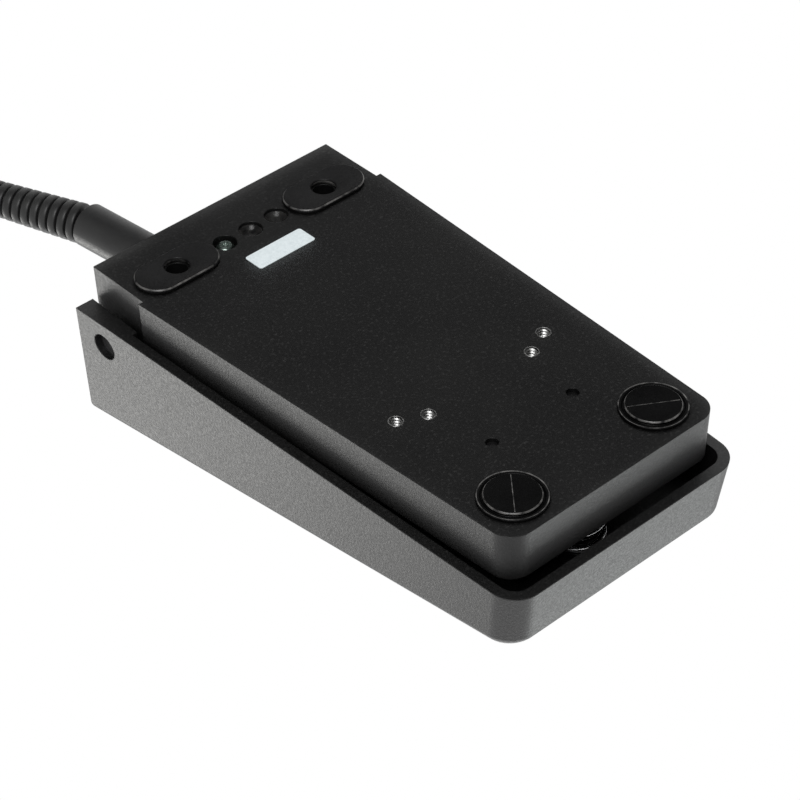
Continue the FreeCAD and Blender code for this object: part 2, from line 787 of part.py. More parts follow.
def pedal_cuts():
    """Everything taken out of the pedal casting: bores, rear mouth and mat recess."""
    cuts = []
    length = "2 * pedal_rear_width"
    bore = cylinder("bush_bore", "bush_diameter", length, "-(%s) / 2" % length, "pin_y", "pin_z")
    cuts.append(lengthways(bore))
    mouth_half = "(tongue_width / 2 + hinge_side_gap)"
    skirt_low = "(foot_height + lug_top + skirt_gap)"
    cuts.append(block("rear_mouth", "2 * " + mouth_half, "pedal_wall + 6 * cut_over",
                      skirt_low + " + 2 * cut_over",
                      "-" + mouth_half, "rear_face + rear_overhang - pedal_wall - 3 * cut_over",
                      "-2 * cut_over"))
    cuts.append(cylinder("actuator_bore", "actuator_diameter + 2 * screw_seat_gap",
                         "actuator_boss_length + cut_over + actuator_bore_runout", "0", "actuator_y",
                         ceiling_at("actuator_y") + " - actuator_boss_length - cut_over"))
    recess = body("mat_recess_block")
    outline = mat_outline(sketch(recess, "recess_plan", "XY_Plane", "-mat_recess"), "0")
    pad(recess, "recess_pad", outline, "mat_recess + 3 * cut_over")
    cuts.append(seat_on_tread(round_mat(recess, "recess_pad", "mat_corner_radius")))
    return cuts


def seat_on_tread(thing):
    """Put a body whose XY plane is the tread's plane, its origin at the tread's rear edge."""
    world_y, world_z = pedal_world("pin_from_pedal_rear", "(pedal_rear_height - pin_above_rim)")
    place(thing, "0", world_y, world_z)
    return turn(thing, (1, 0, 0), "atan(tread_slope) - rest_tilt * 1 deg")


def mat_outline(drawing, gap):
    """Corners of the mat, set in from the tread's edges."""
    top = "(pedal_rear_height * tan(pedal_side_draft))"
    low = "(pedal_front_height * tan(pedal_side_draft))"
    rear_half = "(pedal_rear_width / 2 - %s - mat_margin - %s)" % (top, gap)
    front_half = "(pedal_front_width / 2 - %s - mat_margin - %s)" % (low, gap)
    rear = "-(mat_margin + %s)" % gap
    front = "-((pedal_length - pedal_front_height * tan(pedal_front_draft)) - mat_margin - %s)" % gap
    return polygon(drawing, [("-" + rear_half, rear), ("-" + front_half, front),
                             (front_half, front), (rear_half, rear)])


def round_mat(owner, feature, radius):
    source = doc.getObject(feature)

    def upright(middle, direction):
        return abs(direction.z) > 0.9

    fillet(owner, feature + "_round", source, edges_where(source, upright), radius)
    return owner


def make_mat():
    mat = body("tread_mat")
    outline = mat_outline(sketch(mat, "mat_plan", "XY_Plane", "-mat_recess"), "stem_gap")
    pad(mat, "mat_pad", outline, "mat_thickness")
    round_mat(mat, "mat_pad", "mat_corner_radius - stem_gap")
    groove_y = "-(mat_margin + groove_pitch)"
    wide = "(pedal_rear_width / 2)"
    profile = polygon(sketch(mat, "groove_plan", "XY_Plane", "mat_thickness - mat_recess"),
                      [("-" + wide, groove_y), (wide, groove_y),
                       (wide, groove_y + " - groove_width"), ("-" + wide, groove_y + " - groove_width")])
    groove = pocket(mat, "groove", profile, "groove_depth")
    rows = mat.newObject("PartDesign::LinearPattern", "grooves")
    rows.Originals = [groove]
    rows.Direction = (origin_part(mat, "Y_Axis"), [""])
    rows.Reversed = True
    tie(rows, "Length", "groove_pitch * (groove_count - 1)")
    tie(rows, "Occurrences", "groove_count")
    mat.Tip = rows
    return seat_on_tread(mat)


def make_feet():
    made = []
    for side, sign in sides:
        oval = body("rear_pad_" + side)
        outline = stadium(sketch(oval, "pad_plan_" + side, "XY_Plane", "foot_height - pad_thickness"),
                          sign + "pad_spacing / 2", setback("pad_setback"), "pad_length", "pad_width")
        circle(outline, sign + "pad_spacing / 2", setback("pad_setback"), "pad_hole")
        plate = pad(oval, "pad_plate_" + side, outline, "pad_thickness")

        def bottom_rim(middle, direction):
            return middle.z < val("foot_height") - val("pad_thickness") + 0.01

        fillet(oval, "pad_round_" + side, plate, edges_where(plate, bottom_rim), "pad_edge")
        made.append(oval)

        foot = body("front_foot_" + side)
        x, y = sign + "foot_spacing / 2", setback("foot_setback")
        pad(foot, "flange_" + side,
            circle(sketch(foot, "flange_plan_" + side, "XY_Plane", "foot_height - foot_flange"),
                   x, y, "foot_flange_diameter"), "foot_flange")
        ring = sketch(foot, "ring_plan_" + side, "XY_Plane", "foot_height - foot_flange")
        circle(ring, x, y, "foot_diameter + 2 * foot_groove_width")
        circle(ring, x, y, "foot_diameter - foot_groove_width")
        pocket(foot, "ring_groove_" + side, ring, "foot_groove_depth", reverse=True)
        pad(foot, "disc_" + side,
            circle(sketch(foot, "disc_plan_" + side, "XY_Plane"), x, y, "foot_diameter"),
                   "foot_height - foot_groove_depth / 2")
        pad(foot, "stem_" + side,
            circle(sketch(foot, "stem_plan_" + side, "XY_Plane", "foot_height"), x, y,
                   "foot_stem_diameter"), "foot_stem_length")

        def low_edge(middle, direction):
            return middle.z < 0.01

        stem = doc.getObject("stem_" + side)
        fillet(foot, "foot_round_" + side, stem, edges_where(stem, low_edge), "foot_edge")
        made.append(foot)
    return made


def make_hinge():
    """Cross pin with its two grooves, the clips in them, and the bushes in the pedal."""
    pin = lengthways(cylinder("pin_bar", "pin_diameter", "2 * pin_half_length", "-pin_half_length",
                              "pin_y", "pin_z"))
    grooves = []
    made = []
    groove_width = "(clip_thickness + 2 * clip_play)"
    lug_inner = "(tongue_width / 2 - lug_thickness)"
    for side, sign in sides:
        start = "%s - %s" % (lug_inner, groove_width) if sign == "+" else "-" + lug_inner
        wide = lengthways(cylinder("groove_outer_" + side, "pin_diameter + cut_over", groove_width, start,
                                   "pin_y", "pin_z"))
        core = lengthways(cylinder("groove_core_" + side, "clip_groove_diameter", groove_width, start,
                                   "pin_y", "pin_z"))
        grooves.append(cut("clip_groove_" + side, wide, core))
        at = start + " + clip_play"
        disc = lengthways(cylinder("clip_disc_" + side, "clip_diameter", "clip_thickness", at,
                                   "pin_y", "pin_z"))
        hole = lengthways(cylinder("clip_hole_" + side, "clip_groove_diameter + clip_play",
                                   "clip_thickness", at, "pin_y", "pin_z"))
        mouth = block("clip_mouth_" + side, "clip_thickness", "clip_mouth_width", "clip_diameter", at,
                      "pin_y - clip_mouth_width / 2", "pin_z - clip_diameter")
        opening = fuse("clip_opening_" + side, [hole, mouth])
        made.append(cut("retaining_clip_" + side, disc, opening))
    made.append(cut("hinge_pin", pin, fuse("clip_grooves", grooves)))
    boss_inner = "(tongue_width / 2 + hinge_side_gap)"
    barrel_length = "(pin_half_length - %s)" % boss_inner
    for side, sign in sides:
        low = boss_inner if sign == "+" else "-pin_half_length"
        flange_low = boss_inner + " - bush_flange" if sign == "+" else "-" + boss_inner
        barrel = lengthways(cylinder("bush_barrel_" + side, "bush_diameter - 2 * pin_seat_gap",
                                     barrel_length, low, "pin_y", "pin_z"))
        flange = lengthways(cylinder("bush_collar_" + side, "bush_flange_diameter", "bush_flange",
                                     flange_low, "pin_y", "pin_z"))
        bore = lengthways(cylinder("bush_hole_" + side, "pin_diameter + 2 * pin_running_gap",
                                   "4 * " + barrel_length, low + " - 2 * " + barrel_length,
                                   "pin_y", "pin_z"))
        made.append(cut("hinge_bush_" + side, fuse("bush_solid_" + side, [barrel, flange]), bore))
    return made


def make_label():
    half_y = "%s - label_width / 2" % setback("label_setback")
    return block("label_plate", "label_length", "label_width", "label_thickness", "-label_length / 2",
                 half_y, "foot_height - label_thickness")


def make_switch():
    made = []
    case = block("case_block", "switch_width", "switch_length", "switch_case_height",
                 "-switch_width / 2", "switch_y - switch_length / 2", "switch_bottom")
    cuts = [cylinder("case_chamber", "case_chamber_diameter", "case_chamber_depth + cut_over", "0",
                     "plunger_y", "cover_z - case_chamber_depth")]
    for tag, sign in ends:
        cuts.append(lengthways(cylinder("case_hole_" + tag, "switch_hole_diameter",
                                        "switch_width + 2 * cut_over", "-switch_width / 2 - cut_over",
                                        "switch_y %s switch_hole_pitch / 2" % sign,
                                        "switch_bottom + switch_hole_height")))
    made.append(cut("switch_case", case, fuse("case_cuts", cuts)))

    cover = block("cover_block", "switch_width", "switch_length", "switch_cover_height",
                  "-switch_width / 2", "switch_y - switch_length / 2", "cover_z")
    solids = [cover]
    ear = "(switch_width / 2 - lever_width / 2 - lever_side_gap)"
    for side, sign in sides:
        x = "lever_width / 2 + lever_side_gap" if sign == "+" else "-switch_width / 2"
        solids.append(block("lever_ear_" + side, ear, "2 * lever_axle_inset + lever_ear_reach",
                            "lever_ear_height", x,
                            "lever_pivot_y - lever_axle_inset - lever_ear_reach", "switch_top"))
    guide = cylinder("plunger_guide", "plunger_diameter + 2 * plunger_gap",
                     "switch_cover_height + 2 * cut_over", "0", "plunger_y", "cover_z - cut_over")
    axle_hole = lengthways(cylinder("axle_hole", "lever_axle_diameter + 2 * pin_running_gap",
                                    "switch_width + 2 * cut_over", "-switch_width / 2 - cut_over",
                                    "lever_pivot_y", "lever_pivot_z"))
    made.append(cut("switch_cover", fuse("cover_solid", solids), fuse("cover_cuts", [guide, axle_hole])))

    plunger_top = "(lever_pivot_z + lever_plunger_arm * tan(lever_rest_angle) - plunger_rest_gap)"
    made.append(cylinder("switch_plunger", "plunger_diameter", plunger_top + " - cover_z + plunger_root", "0",
                         "plunger_y", "cover_z - plunger_root"))

    strip = block("lever_strip", "lever_width", "lever_arm + lever_tip", "lever_thickness",
                  "-lever_width / 2", "-lever_arm - lever_tip", "0")
    axle = lengthways(cylinder("lever_axle", "lever_axle_diameter",
                               "switch_width - 2 * lever_axle_recess",
                               "-switch_width / 2 + lever_axle_recess", "0", "0"))
    lever = place(fuse("switch_lever", [strip, axle]), "0", "lever_pivot_y", "lever_pivot_z")
    made.append(turn(lever, (1, 0, 0), "-lever_rest_angle"))

    for index, name in enumerate(("common", "open", "closed")):
        made.append(block("terminal_" + name, "terminal_width", "terminal_thickness", "terminal_length",
                          "-terminal_width / 2",
                          "switch_y + %d * terminal_pitch - terminal_thickness / 2" % (1 - index),
                          "switch_bottom - terminal_length"))
    return made


def hexagon(name, across, height, x, y, z):
    made = doc.addObject("Part::Prism", name)
    made.Polygon = 6
    tie(made, "Circumradius", "%s / 2 / cos(30)" % across)
    tie(made, "Height", height)
    return place(made, x, y, z)


def compound(label, pieces):
    made = doc.addObject("Part::Compound", label)
    made.Links = pieces
    return made


def make_bracket():
    """Angle bracket under the microswitch, with the screws and nuts of both."""
    foot_z = "(floor_top + bracket_boss_height)"
    low_y = "switch_y - bracket_length / 2"
    plate_x = "(-switch_width / 2 - bracket_thickness)"
    hole_z = "(switch_bottom + switch_hole_height)"
    upright = block("bracket_upright", "bracket_thickness", "bracket_length",
                    hole_z + " + bracket_edge - " + foot_z, plate_x, low_y, foot_z)
    foot = block("bracket_base", "bracket_foot + bracket_thickness", "bracket_length",
                 "bracket_thickness", plate_x + " - bracket_foot", low_y, foot_z)
    holes = []
    foot_screws = []
    bolts = []
    nuts = []
    for tag, sign in ends:
        y = "switch_y %s bracket_screw_pitch / 2" % sign
        holes.append(cylinder("bracket_hole_" + tag, "bracket_screw_diameter + 2 * screw_hole_gap",
                              "bracket_thickness + 2 * cut_over", "bracket_screw_x", y,
                              foot_z + " - cut_over"))
        foot_screws.append(pan_screw("bracket_screw_" + tag, "bracket_screw_diameter",
                                     "bracket_thickness + bracket_screw_grip",
                                     "bracket_screw_x", y, foot_z + " + bracket_thickness"))
        y = "switch_y %s switch_hole_pitch / 2" % sign
        holes.append(lengthways(cylinder("upright_hole_" + tag, "switch_hole_diameter",
                                         "bracket_thickness + 2 * cut_over", plate_x + " - cut_over",
                                         y, hole_z)))
        reach = "(switch_width + bracket_thickness + switch_nut_thickness + bolt_past_nut)"
        shank = lengthways(cylinder("bolt_shank_" + tag, "switch_screw_diameter", reach,
                                    "switch_width / 2 - " + reach, y, hole_z))
        head = lengthways(cylinder("bolt_head_" + tag, "head_ratio * switch_screw_diameter",
                                   "screw_head_height", "switch_width / 2", y, hole_z))
        bolts.append(fuse("switch_screw_" + tag, [shank, head]))
        nut = hexagon("nut_hex_" + tag, "switch_nut_across", "switch_nut_thickness",
                      plate_x + " - switch_nut_thickness", y, hole_z)
        hole = lengthways(cylinder("nut_hole_" + tag, "switch_screw_diameter + 2 * screw_seat_gap",
                                   "switch_nut_thickness + 2 * cut_over",
                                   plate_x + " - switch_nut_thickness - cut_over", y, hole_z))
        nuts.append(cut("switch_nut_" + tag, turn(nut, (0, 1, 0), "90"), hole))
    bracket = cut("switch_bracket", fuse("bracket_blank", [upright, foot]), fuse("bracket_cuts", holes))
    return [bracket, compound("bracket_screws", foot_screws), compound("switch_screws", bolts),
            compound("switch_nuts", nuts)]


def pan_screw(name, diameter, length, x, y, seat):
    """A screw from above, its head resting at the seat height."""
    shank = cylinder(name + "_shank", diameter, length, x, y, "%s - (%s)" % (seat, length))
    head = cylinder(name + "_head", "head_ratio * " + diameter, "screw_head_height", x, y, seat)
    return fuse(name, [shank, head])


def make_actuator():
    """Set screw that presses the lever, locked under the tread by a thin nut."""
    top = ceiling_at("actuator_y")
    tip_z = ("(lever_pivot_z + lever_arm * tan(lever_rest_angle)"
             " + lever_thickness / cos(lever_rest_angle) + contact_gap)")
    tip = cylinder("actuator_tip", "actuator_tip_diameter", "actuator_tip_length + cut_over", "0",
                   "actuator_y", tip_z)
    shank = cylinder("actuator_shank", "actuator_diameter",
                     "%s + actuator_seat - actuator_tip_length - %s" % (top, tip_z), "0", "actuator_y",
                     tip_z + " + actuator_tip_length")
    nut_z = top + " - actuator_boss_length - nut_thickness"
    nut = hexagon("lock_hex", "nut_across_flats", "nut_thickness", "0", "actuator_y", nut_z)
    hole = cylinder("lock_hole", "actuator_diameter + 2 * screw_seat_gap",
                    "nut_thickness + 2 * cut_over", "0", "actuator_y", nut_z + " - cut_over")
    return [fuse("actuator_screw", [tip, shank]), cut("actuator_nut", nut, hole)]


def make_buffers():
    made = []
    for side, sign in sides:
        x, y = sign + "stop_spacing / 2", setback("stop_setback")
        head = cylinder("buffer_head_" + side, "buffer_diameter", "buffer_height", x, y, "floor_top")
        stem = cylinder("buffer_stem_" + side, "stop_stem_hole - 2 * stem_gap",
                        "buffer_stem_length + cut_over", x, y, "floor_top - buffer_stem_length")
        made.append(fuse("stop_buffer_" + side, [head, stem]))
    return made


def make_clamp():
    """Cable clamp inside the tongue and the cross-head screw that holds it from below."""
    low_y = "(%s - clamp_length / 2)" % setback("clamp_screw_setback")
    screw_y = setback("clamp_screw_setback")
    seat = "(foot_height + counterbore_depth)"
    saddle = block("clamp_block", "clamp_top_width", "clamp_length", "clamp_height", "clamp_side",
                   low_y, "floor_top")
    channel = turn(cylinder("clamp_channel", "cord_diameter + 2 * stem_gap", "clamp_length + 4 * cut_over",
                            "cable_offset", low_y + " - 2 * cut_over", "cable_height"), (1, 0, 0), "-90")
    tapped = cylinder("clamp_tapping", "clamp_screw_diameter + 2 * screw_seat_gap",
                      "clamp_screw_grip + cut_over", "clamp_screw_pitch", screw_y,
                      "floor_top - cut_over / 2")
    clamp = cut("cable_clamp", saddle, fuse("clamp_cuts", [channel, tapped]))
    shank = cylinder("clamp_screw_shank", "clamp_screw_diameter",
                     "floor_top + clamp_screw_grip - " + seat, "clamp_screw_pitch", screw_y, seat)
    head = cylinder("clamp_screw_head", "counterbore_diameter - 2 * screw_hole_gap",
                    "clamp_screw_head", "clamp_screw_pitch", screw_y, seat + " - clamp_screw_head")
    slots = []
    for tag, along, across in (("a", "cross_length", "cross_width"), ("b", "cross_width", "cross_length")):
        slots.append(block("cross_slot_" + tag, along, across, "cross_depth",
                           "clamp_screw_pitch - %s / 2" % along, "%s - %s / 2" % (screw_y, across),
                           seat + " - clamp_screw_head"))
    blank = fuse("clamp_screw_blank", [shank, head])
    return [clamp, cut("clamp_screw", blank, fuse("cross_recess", slots))]


def make_board():
    """Encoder board on its two posts, with two plug-in headers and a chip."""
    low_y = "(rear_face - board_setback - board_length)"
    plate = block("board_plate", "board_width", "board_length", "board_thickness", "board_side", low_y,
                  "board_height")
    holes = []
    screws = []
    for index, (x, y) in enumerate(board_screw_places()):
        tag = "ab"[index]
        holes.append(cylinder("board_hole_" + tag, "switch_screw_diameter + 2 * screw_hole_gap",
                              "board_thickness + 2 * cut_over", x, y, "board_height - cut_over"))
        screws.append(pan_screw("board_screw_" + tag, "switch_screw_diameter",
                                "board_thickness + board_screw_grip", x, y, "board_top"))
    chip = block("controller_chip", "chip_side", "chip_side", "chip_height",
                 "board_side + board_width - chip_side - chip_inset", low_y + " + board_length / 3",
                 "board_top")
    cable_header = block("cable_header", "header_length", "header_depth", "header_height", "board_side",
                         low_y + " + board_length - header_depth", "board_top")
    switch_header = block("switch_header", "header_depth", "header_length", "header_height", "board_side",
                          "switch_y + terminal_pitch / 2 - header_length / 2", "board_top")
    return [cut("circuit_board", plate, fuse("board_cuts", holes)), compound("board_screws", screws),
            chip, cable_header, switch_header]


# free-form shapes: tubes along arcs, the spring, the bend relief and the coiled cord
def point(x, y, z):
    return FreeCAD.Vector(x, y, z)


def half_biarc(start, heading, end):
    """Arc from start, leaving along heading, to end."""
    chord = end - start
    reach = chord.Length
    along = chord / reach
    across = heading - along * heading.dot(along)
    if across.Length < 1e-6:
        return Part.LineSegment(start, end).toShape()
    angle = math.acos(max(-1.0, min(1.0, heading.dot(along))))
    middle = (start + end) / 2 + across.normalize() * (reach / 2 * math.tan(angle / 2))
    return Part.Arc(start, middle, end).toShape()


def biarcs(stations):
    """Edges of two tangent arcs between each pair of (point, heading) stations."""
    edges = []
    for (p, t), (q, u) in zip(stations, stations[1:]):
        gap = q - p
        both = gap.dot(t + u)
        spread = 2 * (1 - t.dot(u))
        if spread < 1e-9:
            reach = gap.dot(gap) / (2 * both)
        else:
            reach = (-both + math.sqrt(both * both + spread * gap.dot(gap))) / spread
        middle = (p + q + (t - u) * reach) / 2
        edges.append(half_biarc(p, t, middle))
        back = half_biarc(q, u * -1, middle)
        edges.append(reverse_edge(back))
    return edges


def reverse_edge(edge):
    first, last = edge.FirstParameter, edge.LastParameter
    if edge.Curve.TypeId == "Part::GeomLine":
        return Part.LineSegment(edge.valueAt(last), edge.valueAt(first)).toShape()
    return Part.Arc(edge.valueAt(last), edge.valueAt((first + last) / 2), edge.valueAt(first)).toShape()


def tube(edges, diameter):
    path = Part.Wire(edges)
    first = edges[0]
    start = first.valueAt(first.FirstParameter)
    heading = first.tangentAt(first.FirstParameter)
    ring = Part.Wire([Part.Circle(start, heading, diameter / 2).toShape()])
    shell = Part.BRepOffsetAPI.MakePipeShell(path)
    shell.add(ring)
    shell.build()
    shell.makeSolid()
    return shell.shape()


def feature(label, shape):
    made = doc.addObject("Part::Feature", label)
    made.Shape = shape
    made.Placement = FreeCAD.Placement()
    return made


def stations_of(curve, samples):
    """Points and headings of a curve function at even steps of its parameter from 0 to 1."""
    made = []
    step = 1e-4
    for index in range(samples + 1):
        at = index / samples
        ahead = curve(min(1.0, at + step))
        behind = curve(max(0.0, at - step))
        made.append((curve(at), (ahead - behind).normalize()))
    return made


def least_gap(curve, turns, diameter):
    """Smallest gap between the turns of a wound tube, measured on points of its axis."""
    per_turn = 48
    count = round(turns * per_turn)
    points = [curve(k / count) for k in range(count + 1)]
    least = min((points[i] - points[j]).Length
                for i in range(count + 1) for j in range(i + per_turn // 2, count + 1))
    return least - diameter


def route(points, diameter, label):
    """Tube of straight runs joined by tangent arcs, each as large as its two runs allow."""
    edges = []
    last = points[0]
    radii = []
    for before, corner, after in zip(points, points[1:], points[2:]):
        back, on = before - corner, after - corner
        reach = 0.45 * min(back.Length, on.Length)
        back.normalize()
        on.normalize()
        turned = math.pi - back.getAngle(on)
        radius = reach / math.tan(turned / 2)
        radii.append(round(radius, 1))
        start = corner + back * reach
        end = corner + on * reach
        inward = (back + on).normalize()
        middle = corner + inward * (radius / math.cos(turned / 2) - radius)
        edges.append(Part.LineSegment(last, start).toShape())
        edges.append(Part.Arc(start, middle, end).toShape())
        last = end
    edges.append(Part.LineSegment(last, points[-1]).toShape())
    length = sum(edge.Length for edge in edges)
    made = tube(edges, diameter)
    print(label, "length mm", round(length, 1), "radii mm", radii, "volume ratio",
          round(made.Volume / (length * math.pi * diameter ** 2 / 4), 4))
    return made


def wound_tube(label, curve, turns, diameter, ends_along=None):
    """A wound tube on quarter-turn biarcs, its two ends straight for one diameter."""
    stations = stations_of(curve, round(turns * 4))
    if ends_along:
        stations[0] = (stations[0][0], ends_along[0])
        stations[-1] = (stations[-1][0], ends_along[1])
    (first, heading_in), (last, heading_out) = stations[0], stations[-1]
    edges = [Part.LineSegment(first - heading_in * diameter, first).toShape()]
    edges += biarcs(stations)
    edges.append(Part.LineSegment(last, last + heading_out * diameter).toShape())
    print(label, "turns", turns, "length mm", round(sum(edge.Length for edge in edges), 1),
          "least gap to itself mm", round(least_gap(curve, turns, diameter), 3))
    return feature(label, tube(edges, diameter))


def make_spring():
    wire = val("spring_wire")
    radius = val("spring_mean_diameter") / 2
    centre_y = val("rear_face") - val("spring_setback")
    low = val("floor_top") + val("spring_seat_gap") + wire / 2
    high = val("spring_seat_height") - val("spring_seat_gap") - wire / 2
    closed = val("spring_closed_pitch")
    turns = val("spring_turns")
    open_pitch = (high - low - 2 * closed) / (turns - 2)

    def curve(at):
        turned = at * turns
        rise = min(turned, 1) * closed + max(0, min(turned, turns - 1) - 1) * open_pitch
        rise += max(0, turned - turns + 1) * closed
        angle = 2 * math.pi * turned + math.pi / 2
        return point(radius * math.cos(angle), centre_y + radius * math.sin(angle), low + rise)

    return wound_tube("return_spring", curve, turns, wire)


def toward(tilt):
    """Level heading that leans a tilt from +Y towards +X."""
    return point(math.sin(math.radians(tilt)), math.cos(math.radians(tilt)), 0)


def sleeve_mouth():
    wall = point(val("cable_offset"), val("rear_face"), val("cable_height"))
    return wall + toward(val("sleeve_tilt")) * val("sleeve_length")


def make_sleeve():
    """Cable sleeve seated on the rear wall, with a shank and a collar through it."""
    barrel = aim(cylinder("sleeve_barrel", "sleeve_diameter", "sleeve_length + sleeve_root",
                          "cable_offset - sleeve_root * sin(sleeve_tilt)",
                          "rear_face - sleeve_root * cos(sleeve_tilt)",
                          "cable_height"), "sleeve_tilt")
    wall_slice = block("wall_slice", "4 * sleeve_diameter", "tongue_length", "4 * sleeve_diameter",
                       "cable_offset - 2 * sleeve_diameter", "rear_face - tongue_length * cos(base_draft)",
                       "foot_height - tongue_length * sin(base_draft)")
    turn(wall_slice, (1, 0, 0), "base_draft")
    seated = cut("sleeve_seated", barrel, wall_slice)
    shank = aim(cylinder("sleeve_shank", "sleeve_shank_diameter", "rear_wall + sleeve_collar",
                         "cable_offset", "rear_face - rear_wall - sleeve_collar", "cable_height"), "0")
    collar = aim(cylinder("sleeve_collar_ring", "sleeve_shank_diameter + 2 * sleeve_collar",
                          "sleeve_collar", "cable_offset", "rear_face - rear_wall - sleeve_collar",
                          "cable_height"), "0")
    reach = "(sleeve_length - sleeve_mouth_depth)"
    socket = aim(cylinder("sleeve_socket", "sleeve_mouth_diameter", "sleeve_mouth_depth + 2 * cut_over",
                          "cable_offset + %s * sin(sleeve_tilt)" % reach,
                          "rear_face + %s * cos(sleeve_tilt)" % reach, "cable_height"), "sleeve_tilt")
    solid = fuse("sleeve_solid", [seated, shank, collar])
    cable_y = "rear_face - rear_wall - sleeve_collar - "
    cable_length = "(clamp_screw_setback + clamp_length / 2 + cable_end - rear_wall - sleeve_collar)"
    cable = aim(cylinder("inner_cable", "cord_diameter", cable_length, "cable_offset",
                         cable_y + cable_length, "cable_height"), "0")
    return [cut("cable_sleeve", solid, socket), cable]


def relief_neck():
    """Start, first heading, end and last heading of the bend relief's curved neck."""
    lean = toward(val("sleeve_tilt"))
    away = toward(val("relief_tilt"))
    half = val("relief_neck_length") / 2
    neck = sleeve_mouth() - lean * val("sleeve_mouth_depth")
    return neck, lean, neck + lean * half + away * half, away


def relief_end():
    neck, lean, neck_end, away = relief_neck()
    return neck_end + away * (val("relief_length") - val("relief_neck_length"))


def make_relief():
    """Bend relief: a curved neck in the sleeve's mouth and a straight core with tapering ribs."""
    neck, lean, neck_end, away = relief_neck()
    end = relief_end()
    length = (end - neck_end).Length
    pitch = val("relief_rib_pitch")
    ribs = int(length / pitch)
    edges = biarcs([(neck, lean), (neck_end, away)])
    edges.append(Part.LineSegment(neck_end, end).toShape())
    rings = []
    for index in range(ribs):
        share = index / (ribs - 1)
        radius = (val("relief_rib_diameter") * (1 - share) + val("relief_tip_diameter") * share) / 2
        width = val("relief_rib_width") if index < ribs - 1 else length - index * pitch
        rings.append(Part.makeCylinder(radius, width, neck_end + away * (index * pitch), away))
    core = tube(edges, val("relief_neck_diameter"))
    return feature("bend_relief", core.fuse(rings).removeSplitter())


def lead_bend():
    return relief_end() + toward(val("relief_tilt")) * val("lead_run")


def coil_centre():
    return point(val("coil_across"), val("rear_face") + val("coil_behind"), val("cord_diameter") / 2)


def coil_reach():
    """Level distance from the lead's bend to the coil's centre, and its compass angle."""
    away = coil_centre() - lead_bend()
    return math.hypot(away.x, away.y), math.degrees(math.atan2(away.x, away.y))


def coil_heading():
    """Heading of the lead's last run, which touches the coil's outer turn on its right."""
    distance, facing = coil_reach()
    return facing + math.degrees(math.asin(val("coil_outer_radius") / distance))


def coil_turns():
    """Turns from where the lead touches the coil round to its side nearest the pedal."""
    return val("coil_whole_turns") - (90 - coil_heading()) / 360


def cord_lead_points():
    """Route from the bend relief down to the floor and along it to the coil."""
    along = toward(coil_heading())
    distance, facing = coil_reach()
    touch = lead_bend() + along * math.sqrt(distance ** 2 - val("coil_outer_radius") ** 2)
    floor_z = val("cord_diameter") / 2
    landing = lead_bend() + along * val("lead_fall")
    last = touch - along * val("cord_diameter")
    return [relief_end(), lead_bend(), point(landing.x, landing.y, floor_z),
            point(last.x, last.y, floor_z)]


def coil_curve(at):
    """Anticlockwise on the floor: in, up a layer in half a turn, and out again."""
    turns = coil_turns()
    turned = at * turns
    inward = min(turned, turns - turned)
    radius = val("coil_outer_radius") - val("coil_pitch") * inward
    climbed = max(0, min(1, 2 * (turned - turns / 2) + 0.5))
    rise = val("coil_layer_rise") * (1 - math.cos(math.pi * climbed)) / 2
    angle = 2 * math.pi * turned - math.radians(coil_heading())
    return coil_centre() + point(radius * math.cos(angle), radius * math.sin(angle), rise)


def cord_tail_points():
    """Route over the lead and round to the plug beside the coil, chosen by hand."""
    start = coil_centre() + point(val("cord_diameter"), -val("coil_outer_radius"),
                                  val("coil_layer_rise"))
    over = start.z + val("tail_hump")
    plug_axis = val("plug_thickness") / 2
    side, run = val("plug_across"), val("tail_run")
    bend = math.radians(val("tail_turn"))
    near, far = run * math.sin(bend), run * math.cos(bend)
    first = side - near - far
    return [start, point((start.x + first) / 2, start.y, start.z), point(first, start.y, over),
            point(first + far, start.y + near, start.z), point(side, start.y + near + far, plug_axis),
            point(side, start.y + near + far + val("tail_end_run"), plug_axis)]


def make_cord():
    diameter = val("cord_diameter")
    lead = route(cord_lead_points(), diameter, "cord_lead")
    coil = wound_tube("cord_coil", coil_curve, coil_turns(), diameter,
                      (toward(coil_heading()), point(1, 0, 0)))
    tail = route(cord_tail_points(), diameter, "cord_tail")
    return [feature("cord_lead", lead), coil, feature("cord_tail", tail)]


